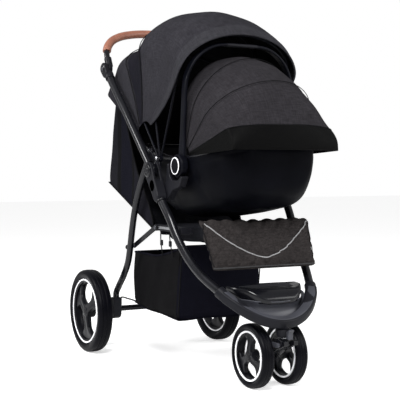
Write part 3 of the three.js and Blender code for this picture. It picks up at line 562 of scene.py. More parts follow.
def make_front_frame():
    top = on_front_tube(90)
    half = [(149, -358.5, 271), (128, -386, 249), (95, -412, 222), (50, -432, 201)]
    arch = mirrored(half, [(0, -440, 193)])
    section = rounded_box(36, 28, 7)
    sweep("front_arch_smooth", arch, section, "plastic", "frame", 90, up=(0, -0.25, 1), slot="black_plastic",
          replaces="front_arch",
          scale=lambda t: lerp(0.93, 1.0, smooth(0, 0.06, min(t, 1 - t))))
    # Paler strip along the arch's top face: a painted reflection of the sky on the glossy black plastic.
    lifted = [(x * 1.002, y - 3.2, z + 13.2) for x, y, z in arch]
    sweep("front_arch_top_painted_reflection", lifted, rounded_box(25, 3.2, 1.5), "satin", "frame", 90, up=(0, -0.25, 1),
          slot="black_plastic",
          scale=lambda t: (1.0 - 0.35 * (1 - smooth(0, 0.10, min(t, 1 - t))), 1.0))
    for tag, side in SIDES:
        line = [(221, *top), (219, -118, 523), (213, -152, 480), (206, -188, 424), (195, -238, 364),
                (180, -289, 319), (152, -352, 275)]
        line = [(side * x, y, z) for x, y, z in line]
        tube(f"front_tube_smooth_{tag}", line, 12.5, "powder", "frame", 80, slot="tube",
             replaces=f"front_tube_{tag}")
        ends = ((155.5, -345, 280.4), (152, -352, 275), (147, -361, 268.5))
        collar = [(side * x, y, z) for x, y, z in ends]
        tube(f"arch_collar_{tag}", collar, 17.2, "plastic", "frame", 12, slot="black_plastic", bevel=1.5)


def make_footboard():
    """Dished step with a raised lip, fixed on the arch."""
    rows = []
    for t in np.linspace(0, 1, 28):
        y = lerp(-318, -425, t)
        w = table([(0, 124), (0.32, 117), (0.62, 99), (0.86, 77), (1, 50)], t)
        top = table([(0, 291), (0.35, 290.5), (0.62, 287), (0.86, 274), (1, 257.5)], t)
        low = table([(0, 268), (0.32, 253), (0.62, 250), (1, 246)], t)
        dish = 5.5 * smooth(0.0, 0.16, t) * (1 - smooth(0.5, 0.8, t))
        row = []
        for a in np.linspace(-1, 1, 25):
            row.append(P(w * a, y, top - dish * (1 - smooth(0.72, 0.9, abs(a))) + 2.0 * (1 - a * a)))
        for a in np.linspace(0.97, -0.97, 17):
            row.append(P(w * a * 0.95, y, lerp(low - 3, low, a * a)))
        rows.append(row)
    mesh = turn_out(grid_mesh("footboard_dish", rows, wrap=True, caps=True))
    put("footboard_dish", mesh, "gloss", "frame", slot="gloss_plastic", replaces="footboard", subdivide=1,
        sharp=0)
    half = [(-121, -322, 276), (-112, -360, 262), (-93, -392, 259), (-62, -416, 255)]
    edge = spline(mirrored(half, [(0, -426, 253)]), 60)
    half = [(-128, -352, 262), (-118, -378, 244), (-88, -402, 221), (-48, -421, 203)]
    arch = spline(mirrored(half, [(0, -428, 197)]), 60)
    rows = []
    for v in np.linspace(0, 1, 10):
        hollow = 15 * math.sin(math.pi * v)
        rows.append([P(*(lerp(a, b, v) + np.array([0, hollow, 0]) * smooth(0, 0.2, min(i, 60 - i) / 60)))
                     for i, (a, b) in enumerate(zip(edge, arch))])
    put("footboard_skirt", grid_mesh("footboard_skirt", rows), "satin", "frame", slot="gloss_plastic",
        sharp=0, solid=2.5, subdivide=1)
    for k in range(5):
        y = -336 - 11 * k
        half = 84 - 3.5 * k
        tube(f"footboard_rib_{k + 1}", [(-half, y, 287.6), (0, y, 289.6), (half, y, 287.6)], 1.5, "plastic",
             "frame", 24, 10, slot="gloss_plastic")


def make_hub(tag, side):
    """Fork-shaped fold hub: two ears round the handle's eye, a tube sleeve, and the leg and canopy bracket."""
    def s(x):
        return side * x
    shown = dict(slot="black_plastic")
    high, low, mid = on_front_tube(52), on_front_tube(93), on_front_tube(56)
    plate(f"hub_sleeve_{tag}", link_outline(high, low, 19, 16), s(204.5), s(238), "plastic", "frame", 4.5,
          replaces=(f"hub_body_{tag}", f"hub_cover_{tag}"), **shown)
    plate(f"hub_ear_out_{tag}", link_outline(HUB, mid, 26, 18), s(229.4), s(238), "plastic", "frame", 2.4,
          **shown)
    plate(f"hub_ear_in_{tag}", link_outline(HUB, mid, 26, 18), s(206), s(214.7), "plastic", "frame", 2.0,
          **shown)
    plate(f"leg_bracket_{tag}", link_outline(HUB, LEG_PIVOT, 20, 12), s(202), s(207.6), "plastic", "frame",
          1.6, **shown)
    plate(f"canopy_lug_{tag}", link_outline((HUB[0] + 6, HUB[1] + 10), (-50, 655), 18, 14), s(204.8),
          s(207.9), "plastic", "frame", 1.0,
          **shown)
    cap = [(0, s(244)), (7, s(244)), (8, s(243)), (15, s(243.4)), (19, s(242)), (21.2, s(239.5)),
           (21.2, s(238)), (0, s(237))]
    turned(f"hub_cap_{tag}", rounded(cap, 1.0, closed=False), (0, *HUB), "gloss", "frame", segments=56,
           **shown)
    for label, place, x0, x1, r in (("leg_pin", LEG_PIVOT, 193.5, 209.5, 8.5),
                                    ("canopy_pin", (-50, 655), 187.5, 209.8, 7.5)):
        pin = [(0, s(x0)), (5.2, s(x0)), (5.2, s(x1 - 2.5)), (r, s(x1 - 2.5)), (r, s(x1 - 1)),
               (r * 0.8, s(x1)), (0, s(x1))]
        turned(f"{label}_{tag}", pin, (0, *place), "steel", "frame", segments=32, slot="steel")
    tube(f"sleeve_trim_{tag}", [(s(221), *on_front_tube(104)), (s(221), *on_front_tube(110.5))], 15.2,
         "gloss", "frame", 4, 32,
         bevel=1.2, **shown)


def make_seat_rail(tag, side):
    outline = rounded([(-188, 431), (-188, 451), (52, 451), (52, 431)], 7)
    plate(f"seat_rail_bar_{tag}", outline, side * 151, side * 163.3, "plastic", "frame", 2.0,
          slot="black_plastic",
          replaces=f"seat_rail_{tag}")
    lug = rounded([(-188, 431), (-188, 451), (-170, 451), (-170, 431)], 4)
    plate(f"seat_rail_lug_{tag}", lug, side * 162, side * 194, "plastic", "frame", 1.6, slot="black_plastic")
    slot_cover = rounded([(-150, 437), (-150, 445), (40, 445), (40, 437)], 3.9)
    plate(f"seat_rail_slot_{tag}", slot_cover, side * 163.1, side * 163.7, "steel", "frame", 0.2,
          slot="steel")


def make_handle(tag, side):
    x = side * 222
    line = [(x, HUB[0] + 20, HUB[1] + 19), (x, 11, 683), (x, 70, 740), (x, 146, 813), (x, 209, 871),
            (x, 252, 911), (x, 274, 934.5)]
    tube(f"handle_tube_smooth_{tag}", line, 12.5, "powder", "handle", 60, slot="tube",
         replaces=f"handle_tube_{tag}")
    turned(f"handle_eye_{tag}", rounded([(0, side * 215.2), (24, side * 215.2), (24, side * 228.8),
                                         (0, side * 228.8)], 2.5, closed=False),
           (0, *HUB), "gloss", "handle", segments=56, slot="black_plastic")
    low = (279.5, 941)
    plate(f"handle_joint_shell_{tag}", link_outline(low, TILT, 16, 20), side * 222.6, side * 238, "plastic",
          "handle", 4.0,
          slot="black_plastic", replaces=f"handle_joint_{tag}")
    collar = [(x, 262, 921), (x, 280, 941.5)]
    tube(f"handle_joint_collar_{tag}", collar, 15.4, "plastic", "handle", 6, 36, slot="black_plastic",
         bevel=2.0)
    rim = [(9.2, side * 237), (9.2, side * 240), (13.5, side * 240), (15.5, side * 238.6), (15.5, side * 237),
           (9.2, side * 237)]
    turned(f"handle_joint_bezel_{tag}", rim, (0, *TILT), "gloss", "handle", segments=48, slot="black_plastic")
    button = [(0, side * 226), (8, side * 226), (8, side * 239.8), (6.6, side * 241), (0, side * 240.4)]
    turned(f"tilt_button_{tag}", rounded(button, 0.9, closed=False), (0, *TILT), "satin",
           f"handle_button_{tag}", segments=40,
           slot="black_plastic", replaces=f"handle_button_{tag}")


GRIP_HALF = [(212, 314, 1003), (204, 330, 1031), (180, 350, 1057), (140, 370, 1077), (92, 384, 1089),
             (46, 391, 1095)]


def make_handlebar():
    line = mirrored(GRIP_HALF, [(0, 393, 1097)])
    fine = [tuple(p) for p in spline(line, 120)]
    tube("handlebar_tube", [(212, 296, 968), (212, 302, 982), *line, (-212, 302, 982), (-212, 296, 968)], 9.4,
         "powder", "handlebar", 140,
         slot="tube", replaces="handlebar")
    covered = fine[4:-4]
    tube("grip_sleeve", covered, 13.6, "leather", "handlebar", 160, 44, slot="leather",
         replaces="handle_grip", bevel=1.8)
    centre = np.array(covered)
    middle = np.array([0, 300, 1010])
    inward = middle - centre
    tangent = np.gradient(centre, axis=0)
    tangent /= np.linalg.norm(tangent, axis=1)[:, None]
    inward -= tangent * np.sum(inward * tangent, axis=1)[:, None]
    inward /= np.linalg.norm(inward, axis=1)[:, None]
    across = np.cross(tangent, inward)
    seam = centre + inward * 13.5
    tube("grip_seam", [tuple(p) for p in seam[1:-1]], 0.9, "leather", "handlebar", 160, 8, slot="leather")
    line = spline(centre + inward * 13.35, 150)
    place = [np.interp(np.linspace(0, 1, 151), np.linspace(0, 1, len(centre)), across[:, k])
             for k in range(3)]
    sideways = np.array(place).T
    for row in (-1, 1):
        verts, faces = [], []
        for i in range(3, 147):
            a = line[i] + sideways[i] * row * 3.2
            b = line[i] * 0.38 + line[i + 1] * 0.62 + sideways[i] * row * 3.6
            add_stitch(verts, faces, a, b, centre[min(len(centre) - 1, round(i * (len(centre) - 1) / 150))])
        stitches = bpy.data.meshes.new("stitches")
        stitches.from_pydata([P(*v) for v in verts], [], faces)
        put(f"grip_stitches_{'out' if row > 0 else 'in'}", turn_out(stitches), "thread", "handlebar",
            slot="leather")
    for tag, side in SIDES:
        eye = [(0, side * 208.5), (19, side * 208.5), (19, side * 221.8), (0, side * 221.8)]
        turned(f"handlebar_eye_{tag}", rounded(eye, 2.5, closed=False), (0, *TILT), "plastic", "handlebar",
               segments=56, slot="black_plastic")
        stub = [(side * 212, 293, 964), (side * 212, 302, 982), (side * 211.8, 309, 995)]
        tube(f"handlebar_socket_{tag}", stub, 12.2, "plastic", "handlebar", 8, 32, slot="black_plastic",
             bevel=2.0)
        cuff = [tuple(p) for p in (covered[:3] if side > 0 else covered[-3:])]
        tube(f"grip_end_ring_{tag}", cuff, 14.2, "leather", "handlebar", 6, 40, slot="leather", bevel=1.2)


def add_stitch(verts, faces, a, b, core):
    """Small lozenge of thread from a to b, standing off the surface round core."""
    out = (a + b) / 2 - core
    out = out / np.linalg.norm(out)
    along = (b - a) / np.linalg.norm(b - a)
    side = np.cross(along, out) * 0.55
    base = len(verts)
    middle = (a + b) / 2
    verts += [tuple(a), tuple(b), tuple(middle + side), tuple(middle - side), tuple(middle + out * 0.7),
              tuple(middle - out * 0.5)]
    for i, j, k in ((0, 2, 4), (2, 1, 4), (1, 3, 4), (3, 0, 4), (2, 0, 5), (1, 2, 5), (3, 1, 5), (0, 3, 5)):
        faces.append((base + i, base + j, base + k))


def make_rear(tag, side):
    line = [(195, 14, 666), (195, 22, 657), (193, 60, 615), (189, 110, 555), (186, 150, 490), (183, 178, 425),
            (181, 198, 366), (179, 220, 316),
            (176, 262, 268), (172, 312, 226), (171, 336, 200), (171, 336, 176)]
    line = [(side * x, y, z) for x, y, z in line]
    tube(f"rear_leg_smooth_{tag}", line, 11, "powder", "rear_legs", 110, slot="tube",
         replaces=f"rear_leg_{tag}",
         scale=lambda t: (0.95, 1.0 - 0.45 * (1 - smooth(0, 0.05, t))))
    eye = [(5.6, side * 195.2), (12, side * 195.2), (12, side * 201.2), (5.6, side * 201.2),
           (5.6, side * 195.2)]
    turned(f"leg_eye_{tag}", eye, (0, *LEG_PIVOT), "powder", "rear_legs", segments=40, slot="tube", bevel=0.8)
    outline = [(317, 186), (352, 186), (356, 176), (372, 162), (398, 158), (402, 126), (386, 117), (340, 112),
               (322, 122)]
    plate(f"axle_housing_shell_{tag}", rounded(outline, 7), side * 157, side * 185, "plastic", "rear_legs",
          3.2, slot="black_plastic",
          replaces=f"axle_housing_{tag}")
    boss = [(6.2, side * 184), (17, side * 184), (15, side * 196), (8, side * 200), (6.2, side * 200),
            (6.2, side * 184)]
    turned(f"axle_boss_{tag}", rounded(boss, 1.5, closed=False), (0, REAR_WHEEL["y"], REAR_WHEEL["r"]),
           "plastic", "rear_legs",
           segments=40, slot="black_plastic")
    bar = link_outline((196, 372), (36, 441), 8)
    plate(f"leg_link_bar_{tag}", bar, side * 164, side * 168.8, "powder", "leg_links", 1.2, slot="tube",
          replaces=f"leg_link_{tag}")
    for label, place in (("rail", (36, 441)), ("leg", (196, 372))):
        head = [(0, side * 172.2), (4, side * 172), (6.4, side * 170.6), (6.8, side * 168.6),
                (0, side * 168.6)]
        turned(f"link_rivet_{label}_{tag}", head, (0, *place), "satin", "leg_links", segments=32,
               slot="black_plastic")
    knob = [(0, 21.5), (6.5, 21.3), (8.2, 19.5), (8.4, 12), (5, 10.5), (5, -9), (0, -9)]
    place = (side * 181, 200, 366)
    rings = turned_grid(rounded(knob, 1.2, closed=False), (0, 0, 0), "z", 32)
    base = np.array(P(0, 0, 0))
    local = rings - base
    local = np.stack([local[..., 0], local[..., 2], -local[..., 1]], axis=-1) + np.array(P(*place))
    put(f"leg_knob_{tag}", turn_out(grid_mesh(f"leg_knob_{tag}", local, wrap=True)), "plastic", "rear_legs",
        slot="black_plastic")


def make_rear_axle():
    y, z = REAR_WHEEL["y"], REAR_WHEEL["r"]
    rod = [(0, -268), (4.8, -268), (6, -266.5), (6, 266.5), (4.8, 268), (0, 268)]
    turned("rear_axle_rod", rod, (0, y, z), "steel", "rear_legs", segments=32, slot="steel",
           replaces="rear_axle")
    for low, high, tag in ((-156, -20, "r"), (20, 156, "l")):
        sleeve = [(6.4, low), (9.5, low), (9.5, high), (6.4, high), (6.4, low)]
        turned(f"axle_tube_{tag}", sleeve, (0, y, z), "powder", "rear_legs", segments=36, slot="tube")
    half = [(153.5, 366, 168), (144, 352, 182), (120, 344, 176), (70, 350, 160)]
    tube("brake_cable_sleeve", mirrored(half, [(0, 354, 157)]), 2.5, "cable", "rear_legs", 120, 14,
         slot="cable", replaces="brake_cable")
    sleeve = [(6.5, -18), (13, -18), (13, 18), (6.5, 18), (6.5, -18)]
    turned("pedal_sleeve", rounded(sleeve, 1.5, closed=False), (0, y, z), "plastic", "brake_pedal",
           segments=48, slot="black_plastic",
           replaces="brake_pedal")
    pad = rounded([(388, 147), (438, 158.5), (446, 153), (442, 145.5), (391, 133)], 3)
    plate("pedal_pad", pad, -36, 36, "plastic", "brake_pedal", 2.4, slot="black_plastic")
    for k in range(5):
        x = -24 + 12 * k
        tube(f"pedal_rib_{k + 1}", [(x, 400, 150.6), (x, 418, 154.6), (x, 436, 158.4)], 1.6, "satin",
             "brake_pedal", 8, 10,
             slot="black_plastic")


def make_front_swivel():
    y = SWIVEL_Y
    house = [(8.8, 153), (20, 153), (22.5, 158), (24, 168), (24, 174), (21, 176), (8.8, 176), (8.8, 153)]
    turned("swivel_cup", rounded(house, 1.5, closed=False), (0, y, 0), "plastic", "frame", "z", 56,
           slot="black_plastic",
           replaces="swivel_housing")
    neck = [(15, 174), (17, 178), (17, 186), (0, 190), (0, 174)]
    turned("swivel_neck", rounded(neck, 1.5, closed=False), (0, y, 0), "plastic", "frame", "z", 48,
           slot="black_plastic")
    stem = [(0, 140), (8, 140), (8, 172), (0, 172)]
    turned("fork_stem", stem, (0, y, 0), "steel", "fork", "z", 32, slot="steel", replaces="front_fork")
    crown = [(-462, 134), (-462, 146), (-456, 149.2), (-420, 149.2), (-414, 142.5), (-398, 134), (-394, 112),
             (-412, 112), (-452, 124)]
    plate("fork_crown", rounded(crown, 3), -24, 24, "gloss", "fork", 3.5, slot="gloss_plastic")
    for tag, side in SIDES:
        horn = rounded([(-478, 134), (-478, 146), (-461, 146), (-452, 126)], 2.5)
        plate(f"fork_horn_{tag}", horn, side * 9, side * 23.5, "gloss", "fork", 2.0, slot="gloss_plastic")
    leg = link_outline((-422, 128), (FRONT_WHEEL["y"], FRONT_WHEEL["r"]), 16, 15)
    plate("fork_leg", leg, -21.5, 21.5, "gloss", "fork", 4.5, slot="gloss_plastic")
    brace = rounded([(-459, 131), (-456, 139), (-419, 139), (-415, 131), (-426, 126), (-450, 126)], 3)
    plate("fork_brace", brace, -31, 31, "satin", "fork", 2.5, slot="gloss_plastic")
    axle = [(0, -71), (5, -71), (6, -69.5), (6, 69.5), (5, 71), (0, 71)]
    turned("front_axle_rod", axle, (0, FRONT_WHEEL["y"], FRONT_WHEEL["r"]), "steel", "fork", segments=32,
           slot="steel", replaces="front_axle")
    lock = rounded([(-476, 150.3), (-476, 168), (-482, 176), (-478, 179), (-465, 170), (-465, 150.3)], 1.6)
    plate("swivel_lock_slider", lock, -7.8, 7.8, "satin", "swivel_lock", 1.0, slot="black_plastic",
          replaces="swivel_lock")


# ------------------------------------------------------------------ folding cloth fans
CANOPY = dict(pivot=(-50, 655), side=204, start=62, gather=(86, 54), bodies=("frame", "canopy_front"),
              turn=(48, 114),
              height=[(30, 524), (42, 522), (50, 494), (58, 466), (66, 464), (76, 472), (90, 466), (104, 441),
                      (118, 406), (128, 384)],
              square=[(30, 0.8), (60, 0.78), (90, 0.72), (118, 0.7), (128, 0.68)])
HOOD = dict(pivot=(-171, 662), side=174, start=30, gather=(0, 0), bodies=("carrier", "carrier_hood_bow"),
            turn=(172, 91),
            height=[(78, 296), (100, 300), (130, 310), (150, 318), (172, 304), (178, 300)],
            square=[(78, 0.36), (130, 0.44), (150, 0.6), (172, 0.92), (178, 0.95)])


def fan_point(fan, s, theta, inset=0.0):
    """Point of a folding cloth: s runs from one pivot (-1) over the top (0) to the other (1)."""
    height, square = table(fan["height"], theta) - inset, table(fan["square"], theta)
    side = fan["side"] - inset
    if abs(s) > 0.58:
        x, r = side, lerp(fan["start"], height * square, (1 - abs(s)) / 0.42)
    else:
        phi = abs(s) / 0.58 * math.pi / 2
        x, r = side * math.sin(phi), height * (square + (1 - square) * math.cos(phi))
    angle = math.radians(theta)
    gathered = (max(0.0, abs(s) - 0.5) / 0.5) ** 1.6
    y = fan["pivot"][0] + fan["gather"][0] * gathered + r * math.cos(angle)
    return math.copysign(x, s), y, fan["pivot"][1] + fan["gather"][1] * gathered + r * math.sin(angle)


def fan_blend(fan):
    ends = [P(0, fan["pivot"][0] + 400 * math.cos(a), fan["pivot"][1] + 400 * math.sin(a))
            for a in map(math.radians, fan["turn"])]
    return (*fan["bodies"], *ends)


def fan_cloth(name, fan, low, high, inset, paint, materials, rows=110, cols=112, reach=1.0, **more):
    grid = []
    for v in np.linspace(0, 1, rows):
        row = []
        for s in np.linspace(-reach, reach, cols):
            theta = lerp(low, high(s), v)
            row.append(P(*fan_point(fan, s, theta, inset(s, theta))))
        grid.append(row)
    mesh = grid_mesh(name, grid, paint=paint, flip=True)
    return put(name, mesh, materials, None, blend=fan_blend(fan), sharp=0, **more)


def fan_piping(name, fan, theta, radius, material, inset=-0.6, reach=0.985, slot="fabric"):
    """Thin cord sewn across the cloth at one angle, or at an angle given for each s."""
    line = [fan_point(fan, s, theta(s) if callable(theta) else theta, inset)
            for s in np.linspace(-reach, reach, 81)]
    return tube(name, line, radius, material, None, 200, 10, blend=fan_blend(fan), slot=slot)


def groove(theta, at, wide=0.9):
    return math.exp(-((theta - at) / wide) ** 2)


CANOPY_REAR = 30
CANOPY_SEAMS = (54, 70)
HOOD_SEAMS = (110, 138, 164)
HOOD_EDGES = (84, 177)
BOWS = (("rear", 48, "frame", 7.0), ("middle", 76, "canopy_middle", 10.4),
        ("front", 114, "canopy_front", 13.8))


def canopy_front_edge(s):
    """Angle of the canopy's front edge, which runs farther forward at the sides."""
    return 116 + 11 * s * s


def canopy_inset(s, theta):
    """How far the canopy cloth lies inside its drawn shape.

    It is hollow between bows, pleated at the pivots, and sewn down at seams.
    """
    inset = 0.0
    for a, b, depth in ((CANOPY_REAR, 48, 3.0), (48, 76, 7.0), (76, 114, 8.0)):
        if a < theta < b:
            flatter = 1 - 0.5 * smooth(0.5, 0.9, abs(s))
            inset += depth * math.sin(math.pi * (theta - a) / (b - a)) ** 2 * flatter
    near = smooth(0.60, 0.96, abs(s))
    inset += near * 0.8 * math.sin(theta * 0.62 + 1.2 * math.sin(theta * 0.17))
    inset += (1 - near) * 0.9 * math.sin(theta * 0.33 + s * 9.0 + 2.0 * math.sin(s * 5.0))
    for at in CANOPY_SEAMS:
        inset += 1.5 * groove(theta, at, 0.8)
    inset -= 1.4 * smooth(0.93, 0.955, (theta - CANOPY_REAR) / (canopy_front_edge(s) - CANOPY_REAR))
    return inset


def make_canopy():
    def paint(v, u):
        theta = lerp(CANOPY_REAR, canopy_front_edge(2 * u - 1), v)
        if v > 0.935:
            return 2
        return 1 if CANOPY_SEAMS[0] <= theta <= CANOPY_SEAMS[1] else 0
    canopy = fan_cloth("canopy_cloth", CANOPY, CANOPY_REAR, canopy_front_edge, canopy_inset, paint,
                       ["melange", "strip", "melange_rim", "lining"], solid=1.6, slot="melange",
                       replaces="canopy_fabric", subdivide=1)
    seams = [fan_piping(f"canopy_piping_{where}", CANOPY, theta, 1.5, "dark_piping")
             for where, theta in zip(("rear", "front"), CANOPY_SEAMS)]
    hem = fan_piping("canopy_hem", CANOPY, lambda s: canopy_front_edge(s) + 0.1, 3.0, "melange_rim", 0.4,
                     slot="melange")
    rear_hem = fan_piping("canopy_rear_hem", CANOPY, 30.2, 2.4, "strip", 0.6)
    window = fan_cloth("canopy_window", CANOPY, 80, lambda s: 104,
                       lambda s, theta: canopy_inset(s, theta) + 3.4,
                       None, "window", 30, 30, 0.34, slot="fabric")


def make_bows():
    """Round bows under the canopy cloth, from hinge to hinge."""
    bare = dict(CANOPY, gather=(0, 0), start=8)
    for label, theta, body, inset in BOWS:
        line = [fan_point(bare, s, theta, inset) for s in np.linspace(-1, 1, 61)]
        tube(f"bow_{label}", line, 3.4, "shell", body, 160, 14, slot="black_plastic",
             replaces=f"canopy_bow_{label}")
        for tag, side in SIDES:
            x = side * (CANOPY["side"] - inset)
            eye = [(5.5, x - 2.2), (10, x - 2.2), (10, x + 2.2), (5.5, x + 2.2), (5.5, x - 2.2)]
            turned(f"bow_eye_{label}_{tag}", eye, (0, *CANOPY["pivot"]), "shell", body, segments=32,
                   slot="black_plastic")


def make_hood():
    def inset(s, theta):
        near = smooth(0.60, 0.96, abs(s))
        value = 4.0 * math.sin(math.pi * (theta - 84) / 88) ** 2 * (1 - near)
        ripple = math.sin(theta * 0.3 + s * 8.0 + math.sin(s * 6.0))
        value += near * 0.8 * math.sin(theta * 0.55) + (1 - near) * 0.8 * ripple
        for at in HOOD_SEAMS[:2]:
            value += 1.6 * groove(theta, at, 1.0)
        return value - 1.2 * smooth(162.5, 164.5, theta)
    rear, front = HOOD_EDGES

    def paint(v, u):
        return 1 if rear + (front - rear) * v > HOOD_SEAMS[2] else 0
    hood = fan_cloth("hood_cloth", HOOD, rear, lambda s: front, inset, paint,
                     ["hood", "satin_cloth", "lining"], 96, 96, solid=1.6, slot="fabric",
                     replaces="carrier_hood", subdivide=1)
    seams = [fan_piping(f"hood_seam_{k + 1}", HOOD, theta, 1.1, "dark_piping")
             for k, theta in enumerate(HOOD_SEAMS)]
    seams.append(fan_piping("hood_front_hem", HOOD, 84.4, 2.4, "satin_cloth", 0.6))
    seams.append(fan_piping("hood_rear_hem", HOOD, 176.8, 2.2, "satin_cloth", 0.6))


# ------------------------------------------------------------------ infant carrier
BOWL = [(-426, 92, 686, 683), (-410, 118, 685, 570), (-382, 140, 683, 538), (-345, 156, 677, 514),
        (-280, 170, 667, 502),
        (-171, 176, 656, 486), (-60, 174, 656, 476), (40, 168, 672, 500), (120, 158, 692, 548),
        (170, 140, 704, 610), (188, 112, 706, 703)]


def bowl(y, column):
    return table([(row[0], row[column]) for row in BOWL], y)


def bowl_ring(y, count, inset=0.0, lift=0.0, drop=0.0):
    """Cross-section of the bowl from the right-hand rim under the base to the left-hand rim."""
    half_width, rim, low = bowl(y, 1) - inset, bowl(y, 2) - drop, bowl(y, 3) + lift
    up = max(rim - low, 1.0)
    half = [(half_width, rim), (half_width, low + 0.9 * up), (0.985 * half_width, low + 0.68 * up),
            (0.93 * half_width, low + 0.42 * up),
            (0.80 * half_width, low + 0.17 * up), (0.62 * half_width, low + 0.05 * up),
            (0.36 * half_width, low)]
    line = [(-x, z) for x, z in half] + [(0, low)] + half[::-1]
    return [(x, y, z) for x, z in spline(line, count)]


def shell_relief(x, y, z):
    """Depth of the moulded panels and grooves in the carrier's side."""
    up = (z - bowl(y, 3)) / max(bowl(y, 2) - bowl(y, 3), 1.0)
    panel = smooth(-300, -270, y - 60 * up) * (1 - smooth(-120, -90, y - 30 * up))
    panel = panel * smooth(0.12, 0.24, up) * (1 - smooth(0.72, 0.84, up))
    facet = smooth(-205, -196, y - 105 * up) * (1 - smooth(-262, -254, y + 70 * up)) * smooth(0.05, 0.2, up)
    recess = smooth(-60, -35, y + 40 * up) * (1 - smooth(40, 62, y + 20 * up))
    recess = recess * smooth(0.22, 0.32, up) * (1 - smooth(0.66, 0.76, up))
    return 3.2 * panel + 6.0 * facet + 4.5 * recess + 1.6 * math.exp(-((up - 0.88) / 0.03) ** 2)


def make_carrier():
    ys = np.concatenate([np.linspace(-426, -380, 14), np.linspace(-376, 130, 92), np.linspace(136, 188, 16)])
    rows = []
    for y in ys:
        row = []
        for x, y_, z in bowl_ring(y, 88):
            depth = shell_relief(x, y_, z)
            share = min(1.0, abs(x) / bowl(y, 1))
            row.append(P(x * (1 - depth / max(bowl(y, 1), 1)), y_, z + depth * 0.5 * (1 - share)))
        rows.append(row)
    put("carrier_shell_moulded", grid_mesh("carrier_shell_moulded", rows, flip=True), ["carrier", "carrier"],
        "carrier", slot="shell",
        replaces="carrier_shell", sharp=0, solid=4.5, subdivide=1)
    rim = [(x, y, z) for x, y, z in ((bowl(y, 1) - 2.5, y, bowl(y, 2) + 0.5)
                                     for y in np.linspace(-424, 186, 60))]
    ends = [[(x, y, z) for x, y, z in ((k * bowl(y, 1), y, lerp(bowl(y, 3), bowl(y, 2), 0.9))
                                       for k in np.linspace(0.92, -0.92, 15))]
            for y in (186.5, -424.5)]
    loop = rim + ends[0] + [(-x, y, z) for x, y, z in reversed(rim)] + ends[1][::-1]
    line = spline([P(*p) for p in loop], 420)
    rings = sweep_grid(line, rounded_box(9, 8, 3.6), (0, 0, 1))
    lip = turn_out(grid_mesh("carrier_rim_lip", rings, wrap=True, caps=True))
    put("carrier_rim_lip", lip, "gloss", "carrier", slot="shell")
    rows = []
    for y in np.linspace(-404, 164, 84):
        row = []
        rise = 16 * smooth(-300, -200, y) * (1 - smooth(110, 160, y))
        for x, y_, z in bowl_ring(y, 72, 15, 20, 10 - rise):
            tuft = 2.6 * (1 - groove((x + y) % 48, 24, 4) * 0.5 - groove((x - y) % 48, 24, 4) * 0.5)
            row.append(P(x * (1 - tuft / 170), y_, z + tuft))
        rows.append(row)
    liner = put("carrier_liner_padded", grid_mesh("carrier_liner_padded", rows), ["hood", "lining"],
                "carrier", slot="fabric",
                replaces="carrier_liner", sharp=0, solid=-5.0, subdivide=1)
    for tag, side in SIDES:
        strap = [(side * 46, y, bowl(y, 3) + rise)
                 for y, rise in ((120, 60), (60, 46), (-20, 42), (-110, 44), (-170, 50))]
        sweep(f"harness_strap_{tag}", strap, rounded_box(22, 2.2, 1.0, 3), "webbing", "carrier", 60,
              up=(0, -0.2, 1), slot="fabric")
        pad = [(side * 46, y, bowl(y, 3) + rise) for y, rise in ((96, 58), (50, 52), (-10, 50))]
        sweep(f"harness_pad_{tag}", pad, rounded_box(38, 9, 4.2), "pad", "carrier", 30, up=(0, -0.2, 1),
              slot="fabric", subdivide=1)
    plate("harness_buckle", rounded([(-196, 536), (-196, 548), (-158, 552), (-156, 540)], 5), -19, 19,
          "gloss", "carrier", 3, slot="gloss_plastic")
    for tag, side in SIDES:
        guide = [(side * (bowl(y, 1) - 1), y, z) for y, z in ((-2, 642), (18, 640), (40, 646))]
        sweep(f"belt_guide_{tag}", guide, rounded_box(5, 16, 2.2), "satin", "carrier", 20, up=(0, 0, 1),
              slot="shell", subdivide=1)
        hook = [(-82, 560), (-116, 528), (-150, 560), (-196, 572), (-214, 600), (-206, 604), (-186, 590),
                (-150, 590), (-132, 606),
                (-128, 640), (-118, 640), (-112, 590)]
        plate(f"adapter_shell_{tag}", rounded(hook, 6), side * 181, side * 204.6, "plastic", "frame", 2.2,
              slot="black_plastic",
              replaces=f"carrier_adapter_{tag}")


LEAN = math.radians(95)


